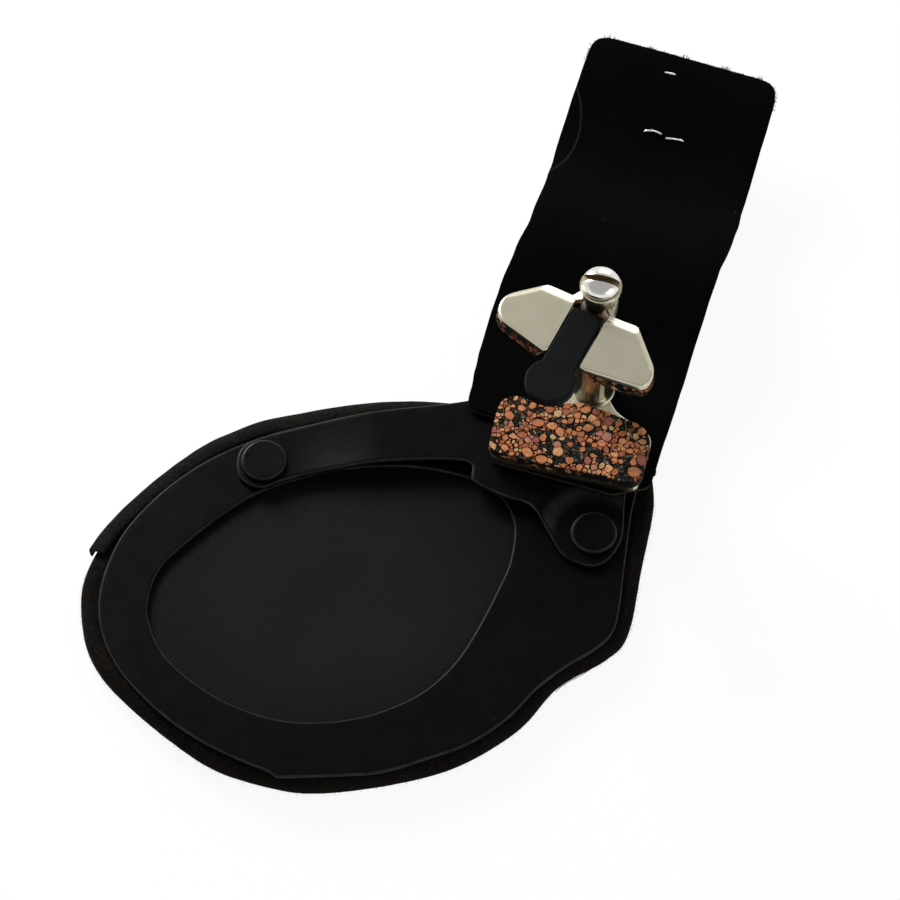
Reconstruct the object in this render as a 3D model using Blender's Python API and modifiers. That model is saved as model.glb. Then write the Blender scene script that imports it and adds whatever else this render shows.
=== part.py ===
"""Clamp-on violin shoulder rest.

An egg-shaped cushion carries a pressed steel ring. An arm riveted across the
ring holds a screw clamp for the edge of the violin and a velvet collarbone flap.
The origin is the middle of the cushion's underside, X runs along the cushion,
Y points to the back and Z is up.
"""
import math

import bmesh
import bpy
from mathutils import Matrix, Vector

MM = 0.001

# clearance kept between pieces that touch
GAP = 0.3 * MM

# points closer than this are one point
WELD_REACH = 0.01 * MM

# cushion
PAD_LENGTH = 158.0 * MM
PAD_WIDTH = 117.0 * MM
COVER_HEIGHT = 8.6 * MM
COVER_WALL = 1.6 * MM
COVER_FLOOR = 1.0 * MM
COVER_RIM_ROUND = 1.0 * MM
PANEL_THICKNESS = 1.2 * MM
BINDING_THICKNESS = 0.9 * MM
BINDING_SKIRT = 5.0 * MM

# ring
RING_THICKNESS = 1.6 * MM
RING_INSET = 3.4 * MM
RING_FORWARD = 1.2 * MM
RING_EDGE_ROUND = 0.4 * MM
OPENING_LENGTH = 101.0 * MM
OPENING_WIDTH = 79.0 * MM
TAB_LENGTH = 24.0 * MM
TAB_DEPTH = 1.3 * MM

# arm and its two cap rivets
ARM_THICKNESS = 1.6 * MM
ARM_RISE = 2.5 * MM
ARM_END_RADIUS = 8.0 * MM
ARM_JOGGLE = 10.0 * MM
ARM_EDGE_ROUND = 0.4 * MM
SEAT_WIDTH = 34.6 * MM
CAP_RADIUS = 6.5 * MM
CAP_HEIGHT = 1.6 * MM
CAP_SHOULDER = 0.9 * MM
CAP_SHANK_RADIUS = 2.2 * MM
CAP_TAIL_RADIUS = 2.9 * MM

# flap, its foot under the clamp and its staples
FLAP_YAW = math.radians(-17.5)
BACKING_THICKNESS = 1.0 * MM
VELVET_THICKNESS = 0.8 * MM
FLAP_WIDTH = 55.5 * MM
FLAP_LENGTH = 105.0 * MM
FLAP_OFFSET = -4.6 * MM
FLAP_CORNER = 6.0 * MM
FLAP_WAVE_HEIGHT = 9.0 * MM
FLAP_WAVE_LENGTH = 72.0 * MM
FOLD_GAP = 0.9 * MM
FOOT_NOTCH_WIDTH = 10.6 * MM
FOOT_NOTCH_DEPTH = 14.0 * MM
FOOT_CORNER = 3.0 * MM
FOOT_CUT_WIDTH = 9.0 * MM
FOOT_CUT_DEPTH = 5.0 * MM
FOOT_MARGIN = 0.2 * MM
FOLD_MARGIN = 1.8 * MM
STAPLE_CROWN = 12.7 * MM
STAPLE_WIRE_RADIUS = 0.35 * MM
STAPLE_CLINCH_GAP = 1.6 * MM
STAPLE_FROM_END = (22.5 * MM, 4.5 * MM)

# lower jaw, its cork, its two rivets and the post
CLAMP_YAW = math.radians(-14.5)
JAW_LENGTH = 43.5 * MM
JAW_DEPTH = 19.5 * MM
JAW_OFFSET = -2.0 * MM
JAW_CORNER = 5.0 * MM
JAW_PLATE = 1.6 * MM
JAW_CORK = 3.0 * MM
JAW_REACH = 9.6 * MM
NECK_WIDTH = 10.0 * MM
NECK_FLARE = 9.0 * MM
JAW_RIVET_SPACING = 26.0 * MM
JAW_RIVET_RADIUS = 1.5 * MM
JAW_RIVET_HEAD_RADIUS = 2.6 * MM
BURR_HEIGHT = 0.8 * MM
POST_RADIUS = 5.25 * MM
POST_HEIGHT = 32.0 * MM
POST_SPIGOT_RADIUS = 2.6 * MM
POST_BURR_RADIUS = 4.0 * MM
POST_THREAD_DEPTH = 15.0 * MM
POST_FLOOR = 1.0 * MM

# upper jaw, stem, screw and lever
JAW_GAP = 41.0 * MM
JAW_SWIVEL = math.radians(-12.0)
WING_SPAN = 45.5 * MM
WING_REACH = 23.7 * MM
WING_BACK = 4.2 * MM
WING_TIP_BACK = 13.6 * MM
WING_SHOULDER = 13.2 * MM
WING_ROOT = 0.67
WING_HOLD = 0.9
WING_NECK = 1.4 * MM
WING_SWEEP = 3.2 * MM
WING_TIP_ROUND = 4.6 * MM
WING_CORNER = 1.8 * MM
WING_THICKNESS = 1.8 * MM
WING_SLOT = 10.4 * MM
WING_ROUND = 0.5 * MM
HUB_RADIUS = 5.0 * MM
HUB_ABOVE = 3.0 * MM
HUB_BELOW = 5.2 * MM
STEM_RADIUS = 3.5 * MM
STEM_ENTRY = 6.5 * MM
COLLAR_RADIUS = 4.8 * MM
COLLAR_HEIGHT = 1.0 * MM
SCREW_RADIUS = 2.0 * MM
SCREW_ENTRY = 6.0 * MM
HEAD_RADIUS = 5.4 * MM
HEAD_EDGE = 1.2 * MM
HEAD_DOME = 2.6 * MM
HEAD_SLOT_WIDTH = 1.6 * MM
HEAD_SLOT_DEPTH = 1.8 * MM
HEAD_SLOT_TURN = math.radians(-13.0)
WASHER_THICKNESS = 0.8 * MM
LEVER_WIDTH = 9.4 * MM
LEVER_THICKNESS = 2.8 * MM
LEVER_KNUCKLE = 3.1 * MM
LEVER_EDGE_ROUND = 0.5 * MM
LEVER_TIP = 37.0 * MM
PADDLE_RADIUS = 6.8 * MM
PIN_RADIUS = 0.9 * MM
LUG_THICKNESS = 1.5 * MM
LUG_STEP = 0.1 * MM

# how finely round and bent pieces are cut
ROUND_STEPS = 24
ARM_CUT_STEP = 7.0 * MM
FLAP_CUT_STEP = 4.5 * MM

# levels, stacked from the table up
PANEL_TOP = COVER_HEIGHT
PANEL_BOTTOM = PANEL_TOP - PANEL_THICKNESS
RING_BOTTOM = COVER_HEIGHT + GAP
RING_TOP = RING_BOTTOM + RING_THICKNESS
ARM_BOTTOM = RING_TOP + GAP
ARM_TOP = ARM_BOTTOM + ARM_THICKNESS
SEAT_TOP = ARM_TOP + ARM_RISE
BACKING_BOTTOM = SEAT_TOP + GAP
VELVET_BOTTOM = BACKING_BOTTOM + BACKING_THICKNESS + GAP
VELVET_TOP = VELVET_BOTTOM + VELVET_THICKNESS
JAW_BOTTOM = VELVET_TOP + GAP
JAW_TOP = JAW_BOTTOM + JAW_PLATE
CORK_TOP = JAW_TOP + GAP + JAW_CORK
UPPER_CORK_BOTTOM = CORK_TOP + JAW_GAP
WING_BOTTOM = UPPER_CORK_BOTTOM + JAW_CORK + GAP
WING_TOP = WING_BOTTOM + WING_THICKNESS
HUB_TOP = WING_TOP + HUB_ABOVE
HUB_BOTTOM = WING_BOTTOM - HUB_BELOW
POST_TOP = JAW_TOP + GAP + POST_HEIGHT
WASHER_BOTTOM = HUB_TOP + GAP
HEAD_BOTTOM = WASHER_BOTTOM + WASHER_THICKNESS + GAP
BORE_FLOOR = POST_TOP - POST_THREAD_DEPTH
FOLD_LEVEL = (BACKING_BOTTOM + VELVET_TOP) / 2

# outlines as shares of the cushion's or the opening's half length and half width
PAD_SHAPE = (
    (-1.0, -0.08), (-0.965, 0.19), (-0.84, 0.45), (-0.64, 0.69), (-0.33, 0.91), (0.10, 1.0),
    (0.58, 0.92), (0.93, 0.745), (1.0, 0.53), (0.952, 0.13), (0.90, -0.20), (0.82, -0.33),
    (0.65, -0.48), (0.50, -0.71), (0.24, -0.91), (-0.14, -1.0), (-0.60, -0.81), (-0.93, -0.43),
)
OPENING_SHAPE = (
    (-1.0, -0.08), (-0.80, 0.40), (-0.42, 0.80), (0.05, 0.98), (0.50, 1.0), (0.82, 0.82),
    (1.0, 0.48), (0.90, 0.04), (0.67, -0.56), (0.30, -0.90), (-0.10, -1.0), (-0.60, -0.81),
    (-0.92, -0.46),
)
OPENING_CENTRE = (-0.135, -0.035)

# places on the cushion, as shares of its half length and half width
LEFT_CAP = (-0.386, 0.643)
RIGHT_CAP = (0.777, 0.248)
POST_PLACE = (0.785, 0.983)

# points of the cushion's outline between which the binding runs
BINDING_FROM = 1
BINDING_TO = 8

CURVE_STEPS = 5


def place(share):
    """A place on the cushion from its shares."""
    return Vector((share[0] * PAD_LENGTH / 2, share[1] * PAD_WIDTH / 2))


def smooth_loop(anchors, steps=CURVE_STEPS):
    """A closed smooth curve through the anchors."""
    points = []
    count = len(anchors)
    for i in range(count):
        a, b, c, d = (Vector(anchors[(i + k) % count]) for k in (-1, 0, 1, 2))
        for s in range(steps):
            t = s / steps
            points.append(
                0.5 * (2 * b + (c - a) * t + (2 * a - 5 * b + 4 * c - d) * t ** 2
                       + (3 * b - a - 3 * c + d) * t ** 3)
            )
    return points


def is_clockwise(loop):
    return sum(a.cross(b) for a, b in zip(loop, loop[1:] + loop[:1])) < 0


def offset_loop(loop, distance):
    """The loop moved outwards by a distance, or inwards by a negative one."""
    side = -1 if is_clockwise(loop) else 1
    moved = []
    for i, point in enumerate(loop):
        before = (point - loop[i - 1]).normalized()
        after = (loop[(i + 1) % len(loop)] - point).normalized()
        along = (before + after).normalized()
        normal = Vector((along.y, -along.x)) * side
        moved.append(point + normal * distance)
    return moved


def arc(centre, radius, start, end, steps=6):
    """Points along an arc, angles in degrees."""
    angles = [math.radians(start + (end - start) * i / steps) for i in range(steps + 1)]
    return [Vector(centre) + radius * Vector((math.cos(a), math.sin(a))) for a in angles]


def rounded_corners(corners, radii, steps=5):
    """A polygon with each corner rounded to its radius."""
    points = []
    count = len(corners)
    for i, radius in enumerate(radii):
        corner = Vector(corners[i])
        back = (Vector(corners[i - 1]) - corner).normalized()
        ahead = (Vector(corners[(i + 1) % count]) - corner).normalized()
        if radius == 0:
            points.append(corner)
            continue
        reach = radius / math.tan(back.angle(ahead) / 2)
        first = corner + back * reach
        last = corner + ahead * reach
        for s in range(steps + 1):
            t = s / steps
            points.append(first * (1 - t) ** 2 + corner * 2 * t * (1 - t) + last * t ** 2)
    return points


def new_collection(name):
    collection = bpy.data.collections.new(name)
    bpy.context.scene.collection.children.link(collection)
    return collection


def material(name, colour, roughness, metallic=0.0):
    made = bpy.data.materials.new(name)
    made.use_nodes = True
    shader = made.node_tree.nodes["Principled BSDF"]
    shader.inputs["Base Color"].default_value = (*colour, 1.0)
    shader.inputs["Roughness"].default_value = roughness
    shader.inputs["Metallic"].default_value = metallic
    return made


def empty(name, location, yaw=0.0, parent=None):
    made = bpy.data.objects.new(name, None)
    made.location = location
    made.rotation_euler = (0, 0, yaw)
    made.parent = parent
    parts.objects.link(made)
    return made


def add_object(name, mesh, look, parent=None, location=(0, 0, 0)):
    """A sub-part, or a cutter if it has no material."""
    made = bpy.data.objects.new(name, mesh)
    made.location = location
    made.parent = parent
    if look is None:
        made.hide_render = True
        made.display_type = "WIRE"
        cutters.objects.link(made)
    else:
        mesh.materials.clear()
        mesh.materials.append(look)
        mesh.shade_smooth()
        mesh.set_sharp_from_angle(angle=math.radians(35))
        parts.objects.link(made)
    return made


def plate_mesh(name, loops, bottom, top):
    """A flat outline, with any holes, between two levels."""
    curve = bpy.data.curves.new(name, "CURVE")
    curve.dimensions = "2D"
    curve.fill_mode = "BOTH"
    curve.extrude = (top - bottom) / 2
    for loop in loops:
        spline = curve.splines.new("POLY")
        spline.points.add(len(loop) - 1)
        for point, at in zip(spline.points, loop):
            point.co = (at[0], at[1], 0, 1)
        spline.use_cyclic_u = True
    guide = bpy.data.objects.new(name + "_outline", curve)
    bpy.context.scene.collection.objects.link(guide)
    bpy.context.view_layer.update()
    seen = guide.evaluated_get(bpy.context.evaluated_depsgraph_get())
    mesh = bpy.data.meshes.new_from_object(seen)
    bpy.data.objects.remove(guide)
    bpy.data.curves.remove(curve)
    edit = bmesh.new()
    edit.from_mesh(mesh)
    bmesh.ops.remove_doubles(edit, verts=edit.verts, dist=1e-6)
    bmesh.ops.translate(edit, verts=edit.verts, vec=(0, 0, (top + bottom) / 2))
    caps = [edge for edge in edit.edges if edge.calc_face_angle(1) < 1e-4]
    bmesh.ops.dissolve_edges(edit, edges=caps, use_verts=False)
    bmesh.ops.recalc_face_normals(edit, faces=edit.faces)
    edit.to_mesh(mesh)
    edit.free()
    return mesh


def round_rim(mesh, width):
    """Round the upper and lower edges of a plate."""
    edit = bmesh.new()
    edit.from_mesh(mesh)
    rim = [edge for edge in edit.edges if edge.calc_face_angle(0) > math.radians(60)]
    bmesh.ops.bevel(edit, geom=rim, offset=width, segments=2, profile=0.5, affect="EDGES")
    edit.to_mesh(mesh)
    edit.free()


def drape(mesh, height, step_x=None, step_y=None):
    """Cut a plate across at even steps, then lift each point by height(x, y)."""
    edit = bmesh.new()
    edit.from_mesh(mesh)
    for axis, step in ((0, step_x), (1, step_y)):
        if step is None:
            continue
        low = min(v.co[axis] for v in edit.verts)
        high = max(v.co[axis] for v in edit.verts)
        count = math.ceil((high - low) / step)
        for i in range(1, count):
            spot = [0, 0, 0]
            normal = [0, 0, 0]
            spot[axis] = low + (high - low) * i / count
            normal[axis] = 1
            everything = edit.verts[:] + edit.edges[:] + edit.faces[:]
            bmesh.ops.bisect_plane(edit, geom=everything, dist=1e-7, plane_co=spot, plane_no=normal)
    for vert in edit.verts:
        vert.co.z += height(vert.co.x, vert.co.y)
    bmesh.ops.triangulate(edit, faces=edit.faces)
    edit.to_mesh(mesh)
    edit.free()


def turned(name, profile, look, parent=None, location=(0, 0, 0), closed=False, axis="Z"):
    """A profile of (radius, level) points, run down its outer side, turned about an axis."""
    mesh = bpy.data.meshes.new(name)
    edges = [(i, i + 1) for i in range(len(profile) - 1)]
    if closed:
        edges.append((len(profile) - 1, 0))
    mesh.from_pydata([(r, 0, z) for r, z in profile], edges, [])
    made = add_object(name, mesh, look, parent, location)
    if axis == "X":
        made.rotation_euler = (0, math.pi / 2, 0)
    screw = made.modifiers.new("turn", "SCREW")
    screw.axis = "Z"
    screw.steps = ROUND_STEPS
    screw.render_steps = ROUND_STEPS
    screw.use_merge_vertices = True
    screw.merge_threshold = 1e-6
    screw.use_smooth_shade = True
    return made


def boolean(target, other, operation="DIFFERENCE"):
    modifier = target.modifiers.new(other.name, "BOOLEAN")
    modifier.operation = operation
    modifier.object = other
    modifier.solver = "EXACT"


def round_edges(target, width, segments=2, angle=40):
    modifier = target.modifiers.new("rounded edges", "BEVEL")
    modifier.width = width
    modifier.segments = segments
    modifier.limit_method = "ANGLE"
    modifier.angle_limit = math.radians(angle)


def weld(target):
    """Join the points that Booleans leave almost on top of each other."""
    modifier = target.modifiers.new("weld", "WELD")
    modifier.merge_threshold = WELD_REACH


def hole(name, radius, low, high, parent=None, at=(0, 0)):
    """A round cutter between two levels."""
    return turned(name, [(0, high), (radius, high), (radius, low), (0, low)], None, parent, (*at, 0))


# cushion and ring

def pad_loop():
    return smooth_loop([place(share) for share in PAD_SHAPE])


def make_cover(loop):
    """The velvet tray that wraps the foam."""
    cover = add_object("cushion_cover", plate_mesh("cover", [loop], 0, COVER_HEIGHT), velvet)
    round_edges(cover, COVER_RIM_ROUND)
    pocket = plate_mesh("pocket", [offset_loop(loop, -COVER_WALL)], COVER_FLOOR, COVER_HEIGHT + COVER_WALL)
    boolean(cover, add_object("cover_pocket", pocket, None))


def make_filling(loop):
    """The foam, and the smooth panel that closes the tray."""
    inner = offset_loop(loop, -COVER_WALL - GAP)
    foam_mesh = plate_mesh("foam", [inner], COVER_FLOOR + GAP, PANEL_BOTTOM - GAP)
    add_object("cushion_foam", foam_mesh, foam)
    panel = add_object("centre_panel", plate_mesh("panel", [inner], PANEL_BOTTOM, PANEL_TOP), leatherette)
    round_edges(panel, PANEL_THICKNESS / 4, 1)


def make_binding(loop):
    """The strip that is folded over the rim along the back, cut square at its left end."""
    first = BINDING_FROM * CURVE_STEPS
    last = BINDING_TO * CURVE_STEPS
    outside = offset_loop(loop, GAP + BINDING_THICKNESS)[first:last]
    inside = offset_loop(loop, -RING_INSET + GAP)[first:last]
    top = COVER_HEIGHT + GAP + BINDING_THICKNESS
    strip = plate_mesh("binding", [outside + inside[::-1]], top - BINDING_SKIRT, top)
    binding = add_object("edge_binding", strip, binding_cloth)
    under = plate_mesh("under_binding", [offset_loop(loop, GAP)], -COVER_HEIGHT, COVER_HEIGHT + GAP)
    boolean(binding, add_object("binding_fold", under, None))
    weld(binding)


def ring_loop(loop):
    """The ring's outer edge, with the straight tab at its front."""
    forward = Vector((0, -RING_FORWARD))
    edge = [point + forward for point in offset_loop(loop, -RING_INSET)]
    front = min(edge, key=lambda point: point.y)
    kept = [p for p in edge if p.y > 0 or abs(p.x - front.x) > TAB_LENGTH / 2 + TAB_DEPTH]
    cut = next(i for i, p in enumerate(kept) if p.x < front.x and p.y < 0 and kept[i - 1].x > front.x)
    level = front.y - TAB_DEPTH
    tab = [
        Vector((front.x + TAB_LENGTH / 2, level + TAB_DEPTH)),
        Vector((front.x + TAB_LENGTH / 2, level)),
        Vector((front.x - TAB_LENGTH / 2, level)),
        Vector((front.x - TAB_LENGTH / 2, level + TAB_DEPTH)),
    ]
    return kept[:cut] + tab + kept[cut:]


def make_ring(loop):
    centre = place(OPENING_CENTRE)
    shape = [
        centre + Vector((u * OPENING_LENGTH / 2, v * OPENING_WIDTH / 2)) for u, v in OPENING_SHAPE
    ]
    mesh = plate_mesh("ring", [ring_loop(loop), smooth_loop(shape)], RING_BOTTOM, RING_TOP)
    ring = add_object("ring_frame", mesh, black_paint)
    for side, share in (("left", LEFT_CAP), ("right", RIGHT_CAP)):
        radius = CAP_SHANK_RADIUS + GAP
        tail = CAP_TAIL_RADIUS + GAP
        flare = RING_BOTTOM + (CAP_TAIL_RADIUS - CAP_SHANK_RADIUS)
        profile = [
            (0, RING_TOP + GAP), (radius, RING_TOP + GAP), (radius, flare + GAP),
            (tail + GAP, RING_BOTTOM - GAP), (0, RING_BOTTOM - GAP),
        ]
        boolean(ring, turned("ring_hole_" + side, profile, None, None, (*place(share), 0)))
    round_edges(ring, RING_EDGE_ROUND, 2, 60)


# arm

def arm_rise(x, y):
    """How far the arm stands above its rivet pads at a place."""
    nearest = min((Vector((x, y)) - place(share)).length for share in (LEFT_CAP, RIGHT_CAP))
    t = (nearest - ARM_END_RADIUS) / ARM_JOGGLE
    t = min(max(t, 0.0), 1.0)
    return ARM_RISE * t * t * (3 - 2 * t)


def arm_loop():
    """Left rivet pad, bridge along the ring, clamp seat and right rivet lobe."""
    left = place(LEFT_CAP)
    right = place(RIGHT_CAP)
    post = place(POST_PLACE)
    turn = Matrix.Rotation(FLAP_YAW, 2)

    def near(spot, u, v):
        return spot + Vector((u, v)) * ARM_END_RADIUS

    def on_seat(u, v):
        return post + turn @ (Vector((u, v)) * SEAT_WIDTH / 2)

    back = 2 * POST_RADIUS / SEAT_WIDTH
    anchors = [
        near(left, -0.71, 0.71), near(left, 1.12, 1.38), near(left, 3.88, 1.91), on_seat(-1.91, -0.66),
        on_seat(-1.27, -0.12), on_seat(-0.52, back), on_seat(0.52, back), on_seat(0.95, -0.35),
        on_seat(1.0, -1.5), near(right, 0.95, -0.2), near(right, 0.15, -1.18), near(right, -0.98, -0.88),
        near(right, -1.58, 0.08), near(right, -2.19, 1.02), on_seat(-0.85, -2.2), on_seat(-1.4, -2.08),
        on_seat(-1.52, -1.85), near(left, 4.62, -0.08), near(left, 1.88, -0.41), near(left, 0.69, -0.72),
        near(left, -0.12, -1.0), near(left, -0.88, -0.48),
    ]
    return smooth_loop(anchors, 4)


def make_arm():
    mesh = plate_mesh("arm", [arm_loop()], ARM_BOTTOM, ARM_TOP)
    round_rim(mesh, ARM_EDGE_ROUND)
    drape(mesh, arm_rise, ARM_CUT_STEP, ARM_CUT_STEP)
    arm = add_object("arm_plate", mesh, black_paint)
    for side, share in (("left", LEFT_CAP), ("right", RIGHT_CAP)):
        cutter = hole("arm_hole_" + side, CAP_SHANK_RADIUS + GAP, RING_TOP, SEAT_TOP + GAP, None, place(share))
        boolean(arm, cutter)
    boolean(arm, hole("arm_spigot_hole", POST_SPIGOT_RADIUS + GAP, RING_TOP, JAW_TOP, clamp))
    for side, at in jaw_rivet_places():
        cutter = hole("arm_rivet_hole_" + side, JAW_RIVET_RADIUS + GAP, RING_TOP, JAW_TOP, clamp, at)
        boolean(arm, cutter)
    weld(arm)


def make_caps():
    """The two flat-topped rivets that fix the arm to the ring, peened flush below."""
    flare = RING_BOTTOM + CAP_TAIL_RADIUS - CAP_SHANK_RADIUS
    seat = ARM_TOP + GAP
    centre = (CAP_RADIUS - CAP_SHOULDER, seat + CAP_HEIGHT - CAP_SHOULDER)
    shoulder = [tuple(point) for point in arc(centre, CAP_SHOULDER, 90, 0, 4)]
    profile = [(0, seat + CAP_HEIGHT)] + shoulder + [
        (CAP_RADIUS, seat), (CAP_SHANK_RADIUS, seat), (CAP_SHANK_RADIUS, flare),
        (CAP_TAIL_RADIUS, RING_BOTTOM), (0, RING_BOTTOM),
    ]
    for side, share in (("left", LEFT_CAP), ("right", RIGHT_CAP)):
        turned("cap_rivet_" + side, profile, black_paint, None, (*place(share), 0))


# flap

FOLD_LINE = POST_RADIUS + FOLD_MARGIN
FOOT_FRONT = -(JAW_REACH + JAW_DEPTH) - FOOT_MARGIN
FLAP_LEFT = FLAP_OFFSET - FLAP_WIDTH / 2
FLAP_RIGHT = FLAP_OFFSET + FLAP_WIDTH / 2
STAPLE_ROWS = tuple(FLAP_LENGTH - inset for inset in STAPLE_FROM_END)


def flap_wave(y):
    """Height of the flap's wave at a distance behind the fold."""
    return FLAP_WAVE_HEIGHT * math.sin(math.pi * max(y, 0.0) / FLAP_WAVE_LENGTH) ** 2


def foot_loop():
    """The flap's fixed end, notched where it passes the arm's edge."""
    inner = FLAP_LEFT + FOOT_NOTCH_WIDTH
    step = FOOT_FRONT + FOOT_NOTCH_DEPTH
    end = FOLD_LINE - FOLD_GAP / 2
    corners = [
        (inner, FOOT_FRONT), (FLAP_RIGHT - FOOT_CUT_WIDTH, FOOT_FRONT),
        (FLAP_RIGHT, FOOT_FRONT + FOOT_CUT_DEPTH), (FLAP_RIGHT, end),
        (FLAP_LEFT, end), (FLAP_LEFT, step), (inner, step),
    ]
    radii = (FOOT_CORNER, FOOT_CORNER, FOOT_CORNER, 0, 0, FOOT_CORNER, FOOT_CORNER)
    return rounded_corners(corners, radii)


def flap_loop():
    corners = [
        (FLAP_LEFT, FOLD_GAP / 2), (FLAP_RIGHT, FOLD_GAP / 2),
        (FLAP_RIGHT, FLAP_LENGTH), (FLAP_LEFT, FLAP_LENGTH),
    ]
    return rounded_corners(corners, (0, 0, FLAP_CORNER, FLAP_CORNER))


def make_foot():
    layers = (
        ("foot_backing", BACKING_BOTTOM, BACKING_THICKNESS, leather),
        ("foot_velvet", VELVET_BOTTOM, VELVET_THICKNESS, velvet),
    )
    for name, bottom, thickness, look in layers:
        layer = add_object(name, plate_mesh(name, [foot_loop()], bottom, bottom + thickness), look, strap)
        spigot = hole(name + "_spigot_hole", POST_SPIGOT_RADIUS + GAP, SEAT_TOP, JAW_TOP, clamp)
        boolean(layer, spigot)
        for side, at in jaw_rivet_places():
            cutter = hole(name + "_hole_" + side, JAW_RIVET_RADIUS + GAP, SEAT_TOP, JAW_TOP, clamp, at)
            boolean(layer, cutter)


def make_flap():
    """The flap's two layers behind the fold, and the staples that join them."""
    layers = (
        ("flap_backing", BACKING_BOTTOM, BACKING_THICKNESS, leather),
        ("flap_velvet", VELVET_BOTTOM, VELVET_THICKNESS, velvet),
    )
    for name, bottom, thickness, look in layers:
        low = bottom - FOLD_LEVEL
        mesh = plate_mesh(name, [flap_loop()], low, low + thickness)
        drape(mesh, lambda x, y: flap_wave(y), None, FLAP_CUT_STEP)
        layer = add_object(name, mesh, look, fold)
        for row, y in enumerate(STAPLE_ROWS):
            for side in (-1, 1):
                at = (FLAP_OFFSET + side * (STAPLE_CROWN / 2 - STAPLE_WIRE_RADIUS), y)
                reach = FLAP_WAVE_HEIGHT + STAPLE_CROWN
                cutter = hole(f"{name}_staple_{row}_{side}", STAPLE_WIRE_RADIUS + GAP, -reach, reach, fold, at)
                boolean(layer, cutter)
    for name, y in zip(("staple_near", "staple_far"), STAPLE_ROWS):
        make_staple(name, y)


def make_staple(name, y):
    """A wire staple: crown below, legs through both layers, ends folded in on top."""
    half = STAPLE_CROWN / 2 - STAPLE_WIRE_RADIUS
    slope = (flap_wave(y + GAP) - flap_wave(y - GAP)) / (2 * GAP)
    tilt = math.sqrt(1 + slope * slope)
    stand = STAPLE_WIRE_RADIUS + GAP
    low = BACKING_BOTTOM - FOLD_LEVEL + flap_wave(y) - stand * tilt
    high = VELVET_TOP - FOLD_LEVEL + flap_wave(y) + stand * tilt
    end = STAPLE_CLINCH_GAP / 2
    route = [(-end, high), (-half, high), (-half, low), (half, low), (half, high), (end, high)]
    curve = bpy.data.curves.new(name, "CURVE")
    curve.dimensions = "3D"
    curve.bevel_depth = STAPLE_WIRE_RADIUS
    curve.bevel_resolution = 1
    curve.use_fill_caps = True
    spline = curve.splines.new("POLY")
    spline.points.add(len(route) - 1)
    for point, (x, z) in zip(spline.points, route):
        point.co = (FLAP_OFFSET + x, y, z, 1)
    guide = bpy.data.objects.new(name + "_wire", curve)
    bpy.context.scene.collection.objects.link(guide)
    bpy.context.view_layer.update()
    mesh = bpy.data.meshes.new_from_object(guide.evaluated_get(bpy.context.evaluated_depsgraph_get()))
    bpy.data.objects.remove(guide)
    bpy.data.curves.remove(curve)
    edit = bmesh.new()
    edit.from_mesh(mesh)
    bmesh.ops.remove_doubles(edit, verts=edit.verts, dist=1e-6)
    bmesh.ops.recalc_face_normals(edit, faces=edit.faces)
    edit.to_mesh(mesh)
    edit.free()
    add_object(name, mesh, staple_wire, fold)


# lower jaw and post

def jaw_rivet_places():
    middle = -JAW_REACH - JAW_DEPTH / 2
    return (
        ("left", (JAW_OFFSET - JAW_RIVET_SPACING / 2, middle)),
        ("right", (JAW_OFFSET + JAW_RIVET_SPACING / 2, middle)),
    )


def jaw_corners():
    back = -JAW_REACH
    front = back - JAW_DEPTH
    left = JAW_OFFSET - JAW_LENGTH / 2
    right = JAW_OFFSET + JAW_LENGTH / 2
    return [(left, front), (right, front), (right, back), (left, back)]


def lower_jaw_loop():
    """The jaw's rectangle, drawn in by two hollow curves to the neck round the post."""
    plain = rounded_corners(jaw_corners(), (JAW_CORNER,) * 4)
    half = NECK_WIDTH / 2
    back = -JAW_REACH
    top = POST_RADIUS * math.sin(math.acos(half / (POST_RADIUS + GAP)))
    right_flare = arc((half + NECK_FLARE, back + NECK_FLARE), NECK_FLARE, 270, 180)
    left_flare = arc((-half - NECK_FLARE, back + NECK_FLARE), NECK_FLARE, 0, -90)
    start = math.degrees(math.atan2(top, half))
    crown = arc((0, 0), POST_RADIUS + GAP, start, 180 - start, 8)
    right_side = [p for p in plain if p.x > 0 or p.y < back - JAW_DEPTH / 2]
    left_side = [p for p in plain if p.x < 0 and p.y > back - JAW_DEPTH / 2]
    return right_side + right_flare + crown + left_flare + left_side


def make_lower_jaw():
    mesh = plate_mesh("lower_jaw", [lower_jaw_loop()], JAW_BOTTOM, JAW_TOP)
    jaw = add_object("lower_jaw", mesh, nickel, clamp)
    boolean(jaw, hole("jaw_spigot_hole", POST_SPIGOT_RADIUS + GAP, SEAT_TOP, CORK_TOP, clamp))
    sink = JAW_RIVET_HEAD_RADIUS - JAW_RIVET_RADIUS
    for side, at in jaw_rivet_places():
        profile = [
            (0, JAW_TOP + GAP), (JAW_RIVET_HEAD_RADIUS + 2 * GAP, JAW_TOP + GAP),
            (JAW_RIVET_RADIUS + GAP, JAW_TOP - sink), (JAW_RIVET_RADIUS + GAP, SEAT_TOP), (0, SEAT_TOP),
        ]
        boolean(jaw, turned("jaw_rivet_hole_" + side, profile, None, clamp, (*at, 0)))
    cork_loop = rounded_corners(jaw_corners(), (JAW_CORNER,) * 4)
    pad = add_object("lower_cork", plate_mesh("lower_cork", [cork_loop], JAW_TOP + GAP, CORK_TOP), cork, clamp)
    round_edges(pad, JAW_CORK / 8, 1)


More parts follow.
